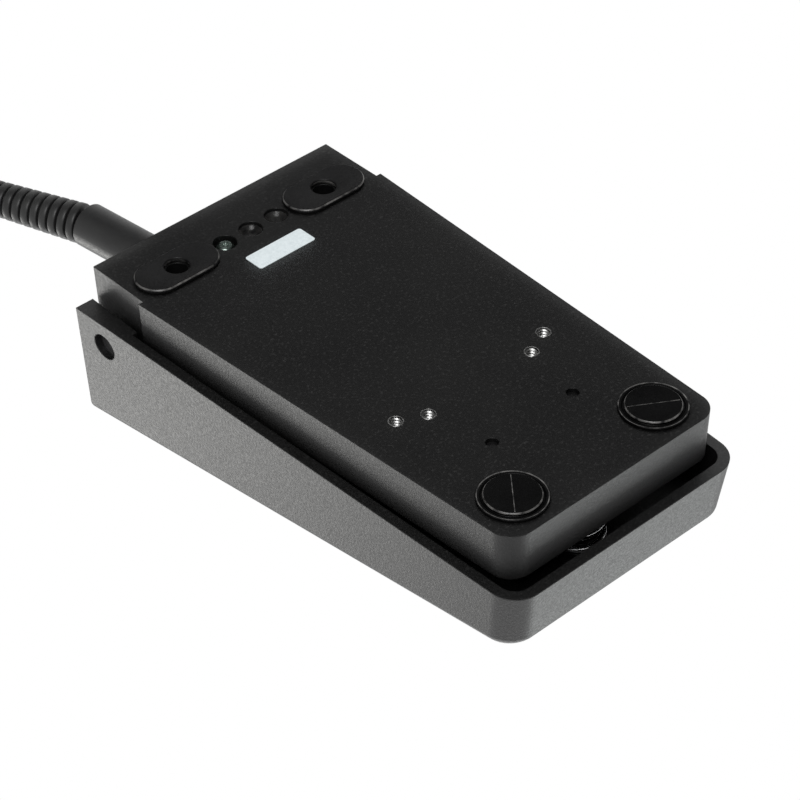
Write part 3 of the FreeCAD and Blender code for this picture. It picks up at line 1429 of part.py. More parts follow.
def make_plug():
    """Unmarked moulded plug lying flat: tapered grip, metal shell and its tongue."""
    grip = body("plug_grip")
    outline = polygon(sketch(grip, "grip_end", "XZ_Plane", "plug_relief_length"),
                      [("-plug_width / 2", "-plug_thickness / 2"), ("plug_width / 2", "-plug_thickness / 2"),
                       ("plug_width / 2", "plug_thickness / 2"), ("-plug_width / 2", "plug_thickness / 2")])
    bar = pad(grip, "grip_bar", outline, "plug_length - plug_relief_length")
    fillet(grip, "grip_round", bar, edges_where(bar, lambda middle, way: abs(way.y) > 0.9), "plug_edge")
    cone = doc.addObject("Part::Cone", "grip_relief")
    tie(cone, "Radius1", "plug_relief_diameter / 2")
    tie(cone, "Radius2", "plug_thickness / 2 - plug_relief_step")
    tie(cone, "Height", "plug_relief_length + cut_over")
    turn(cone, (1, 0, 0), "90")
    plug = fuse("plug_body", [grip, cone])

    inner_width = "(plug_shell_width - 2 * plug_shell_wall)"
    inner_thickness = "(plug_shell_thickness - 2 * plug_shell_wall)"
    shell_y = "-plug_length - plug_shell_length"
    tube_block = block("shell_block", "plug_shell_width", "plug_shell_length", "plug_shell_thickness",
                       "-plug_shell_width / 2", shell_y, "-plug_shell_thickness / 2")
    cuts = [block("shell_hollow", inner_width, "plug_shell_length + 2 * cut_over", inner_thickness,
                  "-%s / 2" % inner_width, shell_y + " - cut_over", "-%s / 2" % inner_thickness)]
    for side, sign in sides:
        cuts.append(block("shell_window_" + side, "plug_window", "plug_window",
                          "plug_shell_thickness + 2 * cut_over",
                          "%s plug_window_pitch / 2 - plug_window / 2" % sign,
                          "-plug_length - plug_shell_length / 2", "-plug_shell_thickness / 2 - cut_over"))
    shell = cut("plug_shell", tube_block, fuse("shell_cuts", cuts))
    tongue = block("tongue_block", inner_width, "plug_shell_length - plug_tongue_setback",
                   "plug_tongue_thickness",
                   "-%s / 2" % inner_width, shell_y + " + plug_tongue_setback",
                   "-%s / 2" % inner_thickness)
    tongue = compound("plug_tongue", [tongue])
    end = cord_tail_points()[-1]
    for piece in (plug, shell, tongue):
        piece.Placement = FreeCAD.Placement(end, FreeCAD.Rotation(point(0, 0, 1), 180))
    return [plug, shell, tongue]


def make_leads():
    """Inner wires: cable to board header, and microswitch terminals to theirs."""
    wire = val("wire_diameter")
    end_y = val("rear_face") - val("board_setback")
    start_y = (val("rear_face") - val("clamp_screw_setback") - val("clamp_length") / 2
               - val("cable_end"))
    header_z = val("board_top") + val("header_height") / 2
    header_x = val("board_side") + val("header_length") / 2
    bundle = val("wire_bundle_offset")
    straight = val("wire_straight")
    cable_wires = []
    for index, (over, up) in enumerate(((-1, -1), (-1, 1), (1, 1), (1, -1))):
        start = point(val("cable_offset") + over * bundle, start_y, val("cable_height") + up * bundle)
        end = point(header_x + (index - 1.5) * val("wire_pitch"), end_y, header_z)
        cable_wires.append(route([start, start - point(0, straight, 0), end + point(0, straight, 0), end],
                                 wire, "usb_leads"))
    switch_wires = []
    for row, side in ((1, 1), (0, -1)):
        start = point(val("terminal_width") / 2, val("switch_y") + row * val("terminal_pitch"),
                      val("switch_bottom") - 2 * val("terminal_length") / 3)
        end = point(val("board_side"), val("switch_y") + val("terminal_pitch") / 2
                    + side * val("wire_pitch") / 2, val("board_top") + val("wire_entry"))
        switch_wires.append(route([start, start + point(straight, 0, 0), end - point(straight, 0, 0), end],
                                  wire, "switch_leads"))
    return [feature("usb_leads", Part.makeCompound(cable_wires)),
            feature("switch_leads", Part.makeCompound(switch_wires))]


nodes = [make_base(), make_pedal(), make_mat(), make_label(), make_spring(), make_relief()]
for made in (make_feet, make_hinge, make_switch, make_bracket, make_actuator, make_buffers, make_clamp,
             make_board, make_sleeve, make_cord, make_plug, make_leads):
    nodes += made()
doc.recompute()

for thing in doc.Objects:
    if "Invalid" in thing.State or "Error" in thing.State:
        raise SystemExit("%s does not build: %s" % (thing.Label, thing.State))
os.makedirs("parts", exist_ok=True)
for node in nodes:
    shape = node.Shape
    if shape.isNull() or not shape.isValid() or not shape.Solids:
        raise SystemExit("%s has no valid solid" % node.Label)
    shape.exportStep("parts/%s.step" % node.Label)
print("nodes", len(nodes))
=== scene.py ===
import math

import bmesh
import bpy
from mathutils import Matrix, Vector


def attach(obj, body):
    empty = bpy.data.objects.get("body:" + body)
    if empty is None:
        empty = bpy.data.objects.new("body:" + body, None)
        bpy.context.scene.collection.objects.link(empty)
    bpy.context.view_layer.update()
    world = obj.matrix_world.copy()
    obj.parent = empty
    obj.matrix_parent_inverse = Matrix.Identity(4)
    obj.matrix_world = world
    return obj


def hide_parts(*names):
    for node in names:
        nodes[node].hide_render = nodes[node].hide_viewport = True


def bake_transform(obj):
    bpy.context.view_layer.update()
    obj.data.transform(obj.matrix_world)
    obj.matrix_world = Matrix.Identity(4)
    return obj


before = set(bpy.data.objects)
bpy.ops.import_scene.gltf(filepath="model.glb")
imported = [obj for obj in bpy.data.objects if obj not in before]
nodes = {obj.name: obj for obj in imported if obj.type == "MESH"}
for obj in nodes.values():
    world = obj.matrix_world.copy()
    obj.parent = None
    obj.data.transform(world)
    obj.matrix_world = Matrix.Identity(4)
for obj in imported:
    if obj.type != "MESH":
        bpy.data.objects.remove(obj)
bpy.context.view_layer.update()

mm = 0.001
weldGap = 0.001 * mm  # corners closer than this become one
edgeSamples = 6
print("frame loaded with", len(nodes), "nodes")


# ways of building materials

def newMaterial(name, colour, roughness, metallic=0.0, specular=0.5):
    material = bpy.data.materials.new(name)
    material.use_nodes = True
    tree = material.node_tree
    shader = tree.nodes["Principled BSDF"]
    shader.inputs["Base Color"].default_value = (*colour, 1)
    shader.inputs["Roughness"].default_value = roughness
    shader.inputs["Metallic"].default_value = metallic
    shader.inputs["Specular IOR Level"].default_value = specular
    return material, tree, shader


def objectPoints(tree):
    return tree.nodes.new("ShaderNodeTexCoord").outputs["Object"]


def grain(tree, points, scale, detail, roughness=0.5):
    noise = tree.nodes.new("ShaderNodeTexNoise")
    noise.inputs["Scale"].default_value = scale
    noise.inputs["Detail"].default_value = detail
    noise.inputs["Roughness"].default_value = roughness
    tree.links.new(points, noise.inputs["Vector"])
    return noise.outputs["Fac"]


def spread(tree, value, fromLow, fromHigh, toLow=0.0, toHigh=1.0):
    node = tree.nodes.new("ShaderNodeMapRange")
    node.inputs["From Min"].default_value = fromLow
    node.inputs["From Max"].default_value = fromHigh
    node.inputs["To Min"].default_value = toLow
    node.inputs["To Max"].default_value = toHigh
    tree.links.new(value, node.inputs["Value"])
    return node.outputs["Result"]


def blendColours(tree, share, first, second):
    node = tree.nodes.new("ShaderNodeMix")
    node.data_type = "RGBA"
    tree.links.new(share, node.inputs[0])
    for socket, colour in ((node.inputs[6], first), (node.inputs[7], second)):
        if isinstance(colour, tuple):
            socket.default_value = (*colour, 1)
        else:
            tree.links.new(colour, socket)
    return node.outputs[2]


def combine(tree, operation, first, second):
    node = tree.nodes.new("ShaderNodeMath")
    node.operation = operation
    tree.links.new(first, node.inputs[0])
    tree.links.new(second, node.inputs[1])
    return node.outputs[0]


def roughen(tree, shader, heights, depth, edge=0.0):
    node = tree.nodes.new("ShaderNodeBump")
    node.inputs["Distance"].default_value = depth
    tree.links.new(heights, node.inputs["Height"])
    tree.links.new(node.outputs["Normal"], shader.inputs["Normal"])
    if edge:
        # sharp edges of the castings and mouldings catch light as if rounded
        soft = tree.nodes.new("ShaderNodeBevel")
        soft.samples = edgeSamples
        soft.inputs["Radius"].default_value = edge
        tree.links.new(soft.outputs["Normal"], node.inputs["Normal"])


# a moulded finish: each other one names only what differs from it
plainFinish = {"roughness": 0.4, "glossier": 0.06, "duller": 0.08, "metallic": 0.0, "specular": 0.5,
               "cloudScale": 120.0, "cloudDetail": 3.0, "cloudFrom": 0.35, "cloudTo": 0.68,
               "grainScale": 1500.0, "grainDetail": 2.0, "grainRoughness": 0.5, "grainFrom": 0.3,
               "grainTo": 0.7, "grainDepth": 0.00001, "edge": 0.0}


def mottled(name, first, second, **changes):
    # clouds between two colours, and a fine grain in gloss and bump
    look = {**plainFinish, **changes}
    roughness = look["roughness"]
    material, tree, shader = newMaterial(name, first, roughness, look["metallic"], look["specular"])
    points = objectPoints(tree)
    clouds = grain(tree, points, look["cloudScale"], look["cloudDetail"])
    clouds = spread(tree, clouds, look["cloudFrom"], look["cloudTo"])
    tree.links.new(blendColours(tree, clouds, first, second), shader.inputs["Base Color"])
    fine = grain(tree, points, look["grainScale"], look["grainDetail"], look["grainRoughness"])
    gloss = spread(tree, fine, look["grainFrom"], look["grainTo"],
                   roughness - look["glossier"], roughness + look["duller"])
    tree.links.new(gloss, shader.inputs["Roughness"])
    roughen(tree, shader, fine, look["grainDepth"], look["edge"])
    return material


def dress(material, nodeNames):
    for nodeName in nodeNames:
        slots = nodes[nodeName].data.materials
        if len(slots):
            for index in range(len(slots)):
                slots[index] = material
        else:
            slots.append(material)


# powder-coated castings: fine orange peel, a soft sheen, and a faint mottle on the underside

coatLook = {"dark": (0.0022, 0.0022, 0.0024), "light": (0.0044, 0.0043, 0.0042),
            "cloudScale": 38.0, "cloudDetail": 3.0, "cloudFrom": 0.35, "cloudTo": 0.65,
            "peelScale": 2200.0, "peelDetail": 2.5, "peelRoughness": 0.55, "peelDepth": 0.00005,
            "peelFrom": 0.3, "peelTo": 0.7, "roughness": 0.45, "roughLow": 0.38, "roughHigh": 0.50,
            "specular": 0.5, "edge": 0.0003,
            "mottleColour": (0.0195, 0.0192, 0.019), "mottleScale": 1800.0, "mottleDetail": 1.0,
            "mottleFrom": 0.56, "mottleTo": 0.82, "downFrom": -0.95, "downTo": -0.8}


def facingDown(tree, look):
    # 1 on faces that look at the floor, 0 on the others
    normal = tree.nodes.new("ShaderNodeTexCoord").outputs["Normal"]
    parts = tree.nodes.new("ShaderNodeSeparateXYZ")
    tree.links.new(normal, parts.inputs["Vector"])
    return spread(tree, parts.outputs["Z"], look["downFrom"], look["downTo"], 1.0, 0.0)


def powderCoat(name, look):
    material, tree, shader = newMaterial(name, look["dark"], look["roughness"], specular=look["specular"])
    points = objectPoints(tree)
    clouds = grain(tree, points, look["cloudScale"], look["cloudDetail"])
    clouds = spread(tree, clouds, look["cloudFrom"], look["cloudTo"])
    coat = blendColours(tree, clouds, look["dark"], look["light"])
    mottle = grain(tree, points, look["mottleScale"], look["mottleDetail"])
    mottle = spread(tree, mottle, look["mottleFrom"], look["mottleTo"])
    mottle = combine(tree, "MULTIPLY", mottle, facingDown(tree, look))
    tree.links.new(blendColours(tree, mottle, coat, look["mottleColour"]), shader.inputs["Base Color"])
    peel = grain(tree, points, look["peelScale"], look["peelDetail"], look["peelRoughness"])
    gloss = spread(tree, peel, look["peelFrom"], look["peelTo"], look["roughLow"], look["roughHigh"])
    tree.links.new(gloss, shader.inputs["Roughness"])
    roughen(tree, shader, peel, look["peelDepth"], look["edge"])
    return material


castPaint = powderCoat("castPaint", coatLook)
dress(castPaint, ["base_housing", "pedal_shell"])
print("castings painted")


# rubber: pads, feet, tread, buffers, sleeve and relief, with painted highlights on the pad and foot edges,
# and the pooled coating with its painted glint

rubberFinish = {"cloudScale": 160.0, "cloudDetail": 4.0, "grainDetail": 3.0, "grainRoughness": 0.6,
                "glossier": 0.08, "duller": 0.1}
rubberLook = {"padRubber": {"first": (0.0036, 0.0035, 0.0038), "second": (0.0070, 0.0068, 0.0072),
                            "roughness": 0.5, "specular": 0.4, "grainScale": 1900.0,
                            "grainDepth": 0.00004},
              "footRubber": {"first": (0.0012, 0.0012, 0.0013), "second": (0.0026, 0.0026, 0.0027),
                             "roughness": 0.42, "specular": 0.16, "grainScale": 1500.0,
                             "grainDepth": 0.00003},
              # the edge material's lighter colour is a painted highlight on the pad and foot edges and on
              # the feet's mould line
              "paintedEdgeHighlight": {"first": (0.006, 0.006, 0.0065), "second": (0.15, 0.146, 0.14),
                           "roughness": 0.36, "specular": 0.7, "grainScale": 900.0,
                           "grainDepth": 0.00003, "cloudScale": 650.0},
              # the pooled coating's lighter second colour is a painted glint
              "pooledPaintAndGlint": {"first": (0.004, 0.004, 0.0042), "second": (0.030, 0.029, 0.028),
                              "roughness": 0.22, "specular": 1.0, "grainScale": 700.0,
                              "grainDepth": 0.00007, "cloudScale": 500.0},
              "treadRubber": {"first": (0.0060, 0.0060, 0.0063), "second": (0.0110, 0.0110, 0.0113),
                              "roughness": 0.6, "specular": 0.5, "grainScale": 1900.0,
                              "grainDepth": 0.00003, "edge": 0.00025},
              "sleeveRubber": {"first": (0.0075, 0.0075, 0.0078), "second": (0.0130, 0.0130, 0.0128),
                               "roughness": 0.40, "specular": 0.5, "grainScale": 2400.0,
                               "grainDepth": 0.00001, "edge": 0.00025}}


def rubber(name):
    return mottled(name, **{**rubberFinish, **rubberLook[name]})


padRubber = rubber("padRubber")
footRubber = rubber("footRubber")
paintedEdgeHighlight = rubber("paintedEdgeHighlight")
pooledPaintAndGlint = rubber("pooledPaintAndGlint")
treadRubber = rubber("treadRubber")
sleeveRubber = rubber("sleeveRubber")
dress(padRubber, ["stop_buffer_left", "stop_buffer_right"])
dress(treadRubber, ["tread_mat"])
dress(sleeveRubber, ["cable_sleeve", "inner_cable"])
print("rubber done")


# metals

metalFinish = {"metallic": 1.0, "glossier": 0.07, "duller": 0.1, "cloudScale": 420.0, "cloudTo": 0.7,
               "grainScale": 900.0, "grainDepth": 0.000004}
metalLook = {"zincPlate": {"colour": (0.62, 0.65, 0.63), "roughness": 0.3, "metallic": 0.7},
             "threadSteel": {"colour": (0.70, 0.70, 0.69), "roughness": 0.36},
             "springSteel": {"colour": (0.8, 0.8, 0.81), "roughness": 0.17},
             "screwSteel": {"colour": (0.55, 0.65, 0.60), "roughness": 0.24},
             "blackSteelAndShade": {"colour": (0.0022, 0.0022, 0.0024), "roughness": 0.6, "metallic": 0.0},
             "contactBrass": {"colour": (0.62, 0.47, 0.2), "roughness": 0.28},
             "plugSteel": {"colour": (0.58, 0.58, 0.59), "roughness": 0.24, "grainScale": 300.0,
                           "grainDepth": 0.000001, "stained": 0.93}}


def metal(name, colour, stained=0.72, **changes):
    stain = tuple(stained * channel for channel in colour)
    return mottled(name, colour, stain, **{**metalFinish, **changes})


zincPlate = metal("zincPlate", **metalLook["zincPlate"])
threadSteel = metal("threadSteel", **metalLook["threadSteel"])
springSteel = metal("springSteel", **metalLook["springSteel"])
screwSteel = metal("screwSteel", **metalLook["screwSteel"])
blackSteelAndShade = metal("blackSteelAndShade", **metalLook["blackSteelAndShade"])
contactBrass = metal("contactBrass", **metalLook["contactBrass"])
plugSteel = metal("plugSteel", **metalLook["plugSteel"])
dress(zincPlate, ["board_screws", "bracket_screws", "switch_screws", "switch_nuts", "actuator_screw",
                  "actuator_nut", "switch_bracket"])
dress(springSteel, ["switch_lever", "retaining_clip_left", "retaining_clip_right"])
dress(blackSteelAndShade, ["hinge_pin"])
dress(contactBrass, ["terminal_common", "terminal_open", "terminal_closed"])
dress(plugSteel, ["plug_shell"])
print("metals done")


# moulded plastics, the board and its leads

plasticLook = {"black": (0.011, 0.011, 0.0115), "cream": (0.62, 0.58, 0.5), "red": (0.4, 0.03, 0.025),
               "white": (0.7, 0.7, 0.68), "chip": (0.018, 0.018, 0.02), "grey": (0.12, 0.12, 0.125)}
boardLook = {"board": (0.02, 0.13, 0.05), "track": (0.035, 0.2, 0.08), "roughness": 0.35, "relief": 0.00003,
             "pattern": {"Scale": 420.0, "Mortar Size": 0.08, "Brick Width": 0.9, "Row Height": 0.35}}


def plastic(name, colour, gain=1.25, lift=0.004, edge=0.0003, **changes):
    lighter = tuple(min(1.0, gain * channel + lift) for channel in colour)
    return mottled(name, colour, lighter, edge=edge, **changes)


def boardLaminate(name, look):
    material, tree, shader = newMaterial(name, look["board"], look["roughness"])
    lines = tree.nodes.new("ShaderNodeTexBrick")
    for socket, number in look["pattern"].items():
        lines.inputs[socket].default_value = number
    tree.links.new(objectPoints(tree), lines.inputs["Vector"])
    colour = blendColours(tree, lines.outputs["Fac"], look["board"], look["track"])
    tree.links.new(colour, shader.inputs["Base Color"])
    roughen(tree, shader, lines.outputs["Fac"], look["relief"])
    return material


blackPlastic = plastic("blackPlastic", plasticLook["black"])
dress(blackPlastic, ["switch_case", "cable_clamp", "plug_body", "hinge_bush_left", "hinge_bush_right"])
dress(plastic("coverPlastic", plasticLook["grey"]), ["switch_cover"])
dress(plastic("plungerPlastic", plasticLook["red"]), ["switch_plunger"])
dress(plastic("headerPlastic", plasticLook["white"]), ["cable_header", "switch_header", "plug_tongue"])
dress(plastic("chipPlastic", plasticLook["chip"], roughness=0.5), ["controller_chip"])
dress(plastic("leadPlastic", plasticLook["cream"]), ["usb_leads", "switch_leads"])
dress(boardLaminate("boardLaminate", boardLook), ["circuit_board"])
print("plastics done")


# ways of building pieces

def edgesOf(corners):
    # each edge once, in an order that every run repeats
    return list(dict.fromkeys(edge for corner in corners for edge in corner.link_edges))


def settle(elements, place):
    # a spin leaves its elements in another order on each run, so they are sorted by where they are
    for rank, element in enumerate(sorted(elements, key=place)):
        element.index = rank
    elements.sort()


def cornerPlace(corner):
    return tuple(corner.co)


def outlinePlace(element):
    return sorted(tuple(corner.co) for corner in element.verts)


def newPiece(name, mesh, materials, body):
    # a piece given no body is left unattached
    settle(mesh.verts, cornerPlace)
    settle(mesh.edges, outlinePlace)
    settle(mesh.faces, outlinePlace)
    data = bpy.data.meshes.new(name)
    mesh.to_mesh(data)
    mesh.free()
    data.shade_smooth()
    for material in materials:
        data.materials.append(material)
    piece = bpy.data.objects.new(name, data)
    bpy.context.scene.collection.objects.link(piece)
    if body:
        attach(piece, body)
    return piece


def makeRing(mesh, centre, radius, height, segments, reshape=None):
    # a level ring of edges, its corners moved by reshape(across, along) about the centre
    place = Matrix.Translation((centre[0] * mm, centre[1] * mm, height * mm))
    turn = Matrix.Rotation(math.pi / segments, 4, "Z")
    corners = bmesh.ops.create_circle(mesh, cap_ends=False, radius=radius * mm, segments=segments,
                                      matrix=place @ turn)["verts"]
    if reshape:
        for corner in corners:
            across, along = corner.co.x / mm - centre[0], corner.co.y / mm - centre[1]
            across, along = reshape(across, along)
            corner.co.x, corner.co.y = (centre[0] + across) * mm, (centre[1] + along) * mm
    return edgesOf(corners)


def joinRings(mesh, rings, highlightBands=()):
    # bands whose number is listed in the last argument take the piece's second material, a painted highlight
    for band, (first, second) in enumerate(zip(rings, rings[1:])):
        for face in bmesh.ops.bridge_loops(mesh, edges=first + second)["faces"]:
            face.material_index = 1 if band in highlightBands else 0


def spinProfile(mesh, centre, profile, segments):
    # a round piece on an upright axis, from (radius, height) corners
    x, y = centre[0] * mm, centre[1] * mm
    points = [mesh.verts.new((x + radius * mm, y, height * mm)) for radius, height in profile]
    edges = [mesh.edges.new(pair) for pair in zip(points, points[1:])]
    bmesh.ops.spin(mesh, geom=points + edges, cent=(x, y, 0), axis=(0, 0, 1), angle=2 * math.pi,
                   steps=segments, use_merge=True)
    bmesh.ops.remove_doubles(mesh, verts=mesh.verts, dist=weldGap)


# the blank label

labelLook = {"length": 13.6, "width": 4.7, "thickness": 0.12, "place": (0.0, 35.407, 0.94), "corner": 0.55,
             "cornerSteps": 6,
             "film": {"first": (0.72, 0.79, 0.81), "second": (0.64, 0.71, 0.73), "roughness": 0.35,
                      "glossier": 0.05, "duller": 0.1, "cloudScale": 1400.0, "cloudDetail": 4.0,
                      "cloudTo": 0.7, "grainScale": 1400.0, "grainDetail": 4.0, "grainDepth": 0.000004}}


def makeLabel(look):
    size = Vector((look["length"], look["width"], look["thickness"])) * mm
    place = Matrix.Translation(Vector(look["place"]) * mm) @ Matrix.Diagonal((*size, 1))
    mesh = bmesh.new()
    bmesh.ops.create_cube(mesh, size=1, matrix=place)
    upright = [edge for edge in mesh.edges if abs(edge.verts[0].co.z - edge.verts[1].co.z) > size.z / 2]
    bmesh.ops.bevel(mesh, geom=upright, offset=look["corner"] * mm, segments=look["cornerSteps"],
                    profile=0.5, affect="EDGES", material=-1)
    film = mottled("labelFilm", **look["film"])
    label = newPiece("labelBlank", mesh, [film], "base")
    label.data.shade_flat()
    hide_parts("label_plate")


makeLabel(labelLook)
print("label made")


# cord: one spline from the relief to the plug, wound into its put-away coil on the way

cordLook = {"diameter": 4.6, "length": 1464.4, "curveSteps": 5, "rimSteps": 6,
            "jacket": {"first": (0.009, 0.009, 0.0093), "second": (0.016, 0.016, 0.0163), "roughness": 0.5,
                       "specular": 0.6, "cloudScale": 210.0, "grainScale": 2600.0,
                       "grainDepth": 0.000015},
            "lead": [(28.116, 108.230, 9.0), (32.416, 119.433, 9.0), (34.971, 141.284, 2.3),
                     (39.126, 176.819, 2.3)],
            "coilCentre": (4.5, 185.5, 2.3), "coilRadius": 35.4, "coilPitch": 5.2, "coilTurns": 8.7685,
            "coilRise": 5.1, "climbTurns": 0.5, "coilStart": -6.669, "pointsPerTurn": 16,
            "tail": [(9.1, 150.1, 7.4), (22.172, 150.1, 7.4), (35.244, 150.1, 7.9), (45.55, 156.05, 7.4),
                     (51.5, 166.355, 4.0), (51.5, 177.355, 4.0)]}


def coilRoute(look):
    # inwards on the floor, up a layer half way, and outwards again on top
    step = 1 / look["pointsPerTurn"]
    outward = 1 / math.cos(math.pi * step)  # control points stand a little outside the turn they shape
    centre = Vector(look["coilCentre"])
    route = []
    for index in range(int(look["coilTurns"] * look["pointsPerTurn"])):
        turned = (index + 0.5) * step
        radius = look["coilRadius"] - look["coilPitch"] * min(turned, look["coilTurns"] - turned)
        climbed = max(0.0, min(1.0, (turned - look["coilTurns"] / 2) / look["climbTurns"] + 0.5))
        rise = look["coilRise"] * (1 - math.cos(math.pi * climbed)) / 2
        angle = math.radians(look["coilStart"]) + 2 * math.pi * turned
        across, along = radius * outward * math.cos(angle), radius * outward * math.sin(angle)
        route.append(centre + Vector((across, along, rise)))
    return route


def makeCord(look):
    route = [Vector(place) for place in look["lead"]] + coilRoute(look)
    route += [Vector(place) for place in look["tail"]]
    data = bpy.data.curves.new("cord", "CURVE")
    data.dimensions = "3D"
    spline = data.splines.new("NURBS")
    spline.points.add(len(route) - 1)
    for point, place in zip(spline.points, route):
        point.co = (*(place * mm), 1)
    spline.order_u = 3
    spline.use_endpoint_u = True
    spline.resolution_u = look["curveSteps"]
    data.bevel_depth = look["diameter"] * mm / 2
    data.bevel_resolution = look["rimSteps"]
    data.use_fill_caps = True
    data.materials.append(mottled("cordJacket", **look["jacket"]))
    cord = bpy.data.objects.new("cord", data)
    bpy.context.scene.collection.objects.link(cord)
    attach(cord, "base")
    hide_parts("cord_lead", "cord_coil", "cord_tail")


makeCord(cordLook)
print("cord laid")


# bend relief: a curved neck in the sleeve's mouth and a boot of rounded ribs

reliefLook = {"neckStart": (14.866, 72.154, 9.0), "neckEnd": (15.895, 76.394, 9.0), "sleeveTilt": 6.3,
              "tilt": 21.0, "neckRadius": 2.8, "neckBend": 17.056, "neckSteps": 8, "ribs": 16, "pitch": 2.1,
              "ribWidth": 1.7, "ribRadius": 4.0, "tipRadius": 3.2, "length": 34.1, "ribRound": 0.35,
              "roundShare": 0.3, "segments": 48}


def levelFrame(start, degrees):
    # a frame at start whose Z axis lies level, turned from +Y towards +X
    turn = math.radians(degrees)
    heading = Vector((math.sin(turn), math.cos(turn), 0))
    return Matrix.Translation(Vector(start) * mm) @ heading.to_track_quat("Z", "X").to_matrix().to_4x4()


def reliefProfile(look):
    profile = [(0.0, 0.0)]
    neck, soft = look["neckRadius"], look["ribRound"]
    corner = look["roundShare"] * soft
    for index in range(look["ribs"]):
        share = index / (look["ribs"] - 1)
        radius = look["ribRadius"] * (1 - share) + look["tipRadius"] * share
        start = index * look["pitch"]
        end = start + look["ribWidth"] if index < look["ribs"] - 1 else look["length"]
        profile += [(neck, start), (radius - soft, start), (radius - corner, start + corner),
                    (radius, start + soft), (radius, end - soft), (radius - corner, end - corner),
                    (radius - soft, end), (neck, end)]
    return profile + [(0.0, look["length"])]


def makeRelief(look):
    mesh = bmesh.new()
    spinProfile(mesh, (0.0, 0.0), reliefProfile(look), look["segments"])
    bmesh.ops.transform(mesh, matrix=levelFrame(look["neckEnd"], look["tilt"]), verts=mesh.verts)
    # the neck is a disc swept about the bend's centre
    mouth = levelFrame(look["neckStart"], look["sleeveTilt"])
    rim = bmesh.ops.create_circle(mesh, cap_ends=True, radius=look["neckRadius"] * mm,
                                  segments=look["segments"], matrix=mouth)["verts"]
    disc = list({face for corner in rim for face in corner.link_faces})
    lean = math.radians(look["sleeveTilt"])
    centre = Vector(look["neckStart"]) + Vector((math.cos(lean), -math.sin(lean), 0)) * look["neckBend"]
    bmesh.ops.spin(mesh, geom=disc, cent=centre * mm, axis=(0, 0, -1), steps=look["neckSteps"],
                   angle=math.radians(look["tilt"]) - lean, use_merge=False)
    bmesh.ops.remove_doubles(mesh, verts=mesh.verts, dist=weldGap)
    bmesh.ops.recalc_face_normals(mesh, faces=mesh.faces)
    relief = newPiece("reliefBoot", mesh, [sleeveRubber], "base")
    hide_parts("bend_relief")


makeRelief(reliefLook)
print("bend relief made")


# return spring: the part's spring mesh, welded, with no body of its own

springLook = {"foot": (0.0, -43.743, 5.0), "head": (0.0, -43.743, 21.4), "weld": 0.002}


def makeSpring(look):
    mesh = bmesh.new()
    mesh.from_mesh(nodes["return_spring"].data)
    bmesh.ops.remove_doubles(mesh, verts=mesh.verts, dist=look["weld"] * mm)
    spring = newPiece("woundSpring", mesh, [springSteel], None)
    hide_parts("return_spring")
    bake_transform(spring)


makeSpring(springLook)
print("spring made")


# cut threads in the four tapped holes, each a few bands wound up the bore, under a raised lip
# a band is (radius, height) to (radius, height): the flanks facing the mouth are bright steel, while the
# flanks facing deeper in and the roots are black, painted shade

threadLook = {"places": [(18.1, -16.343), (-18.1, -16.343), (12.65, -18.843), (-12.65, -18.843)],
              "mouth": 1.02, "pitch": 0.64, "turns": 7, "stepsPerTurn": 24, "weld": 0.002,
              "bands": [((1.22, 0.0), (0.98, 0.24), "bright"), ((0.98, 0.24), (0.98, 0.3), "bright"),
                        ((0.98, 0.3), (1.22, 0.44), "dark"), ((1.22, 0.44), (1.22, 0.64), "dark")],
              "lip": [(1.25, 1.0), (1.25, 0.95), (1.32, 0.91), (1.42, 0.94), (1.47, 1.0), (1.25, 1.0)],
              "lipSegments": 48}


def windBand(mesh, place, band, look):
    x, y, mouth = place[0] * mm, place[1] * mm, look["mouth"] * mm
    low, high, side = band
    points = [mesh.verts.new((x + radius * mm, y, mouth + height * mm)) for radius, height in (low, high)]
    before = set(mesh.faces)
    bmesh.ops.spin(mesh, geom=points + [mesh.edges.new(points)], cent=(x, y, mouth), axis=(0, 0, 1),
                   angle=2 * math.pi * look["turns"], steps=look["stepsPerTurn"] * look["turns"],
                   dvec=(0, 0, look["pitch"] / look["stepsPerTurn"] * mm), use_merge=False)
    for face in set(mesh.faces) - before:
        face.material_index = 1 if side == "dark" else 0


def makeThreads(look):
    mesh = bmesh.new()
    for place in look["places"]:
        for band in look["bands"]:
            windBand(mesh, place, band, look)
        spinProfile(mesh, place, look["lip"], look["lipSegments"])
    bmesh.ops.remove_doubles(mesh, verts=mesh.verts, dist=look["weld"] * mm)
    bmesh.ops.recalc_face_normals(mesh, faces=mesh.faces)
    # the second material paints shade on the inner flanks and roots; it is also the hinge pin's black steel
    threads = newPiece("cutThreads", mesh, [threadSteel, blackSteelAndShade], "base")
    threads.data.shade_flat()


makeThreads(threadLook)
print("threads cut")


# oval pads under the cable end, each with its screw hole
# outside is (inset, height) from the rim, inside is (outset, height) from the hole

# bands 2 and 8, the rounded lower rim and the hole's wall, take a painted highlight
padLook = {"places": {"left": (-18.2, 43.757), "right": (18.2, 43.757)}, "length": 18.0, "width": 9.4,
           "hole": 4.8, "segments": 64, "highlightBands": (2, 8),
           "outside": [(0.0, 1.0), (0.0, 0.40), (0.04, 0.30), (0.26, 0.06), (0.36, 0.01), (0.46, 0.0)],
           "inside": [(0.25, 0.0), (0.06, 0.08), (0.0, 0.3), (0.0, 1.0)]}


def makePad(look, side):
    centre = look["places"][side]
    stretch = (look["length"] - look["width"]) / 2
    mesh = bmesh.new()
    rings = [makeRing(mesh, centre, look["width"] / 2 - inset, height, look["segments"],
                      lambda across, along: (across + math.copysign(stretch, across), along))
             for inset, height in look["outside"]]
    rings += [makeRing(mesh, centre, look["hole"] / 2 + outset, height, look["segments"])
              for outset, height in look["inside"]]
    joinRings(mesh, rings + rings[:1], look["highlightBands"])
    bmesh.ops.recalc_face_normals(mesh, faces=mesh.faces)
    pad = newPiece(side + "Pad", mesh, [padRubber, paintedEdgeHighlight], "base")
    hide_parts("rear_pad_" + side)


for padSide in padLook["places"]:
    makePad(padLook, padSide)
print("pads made")
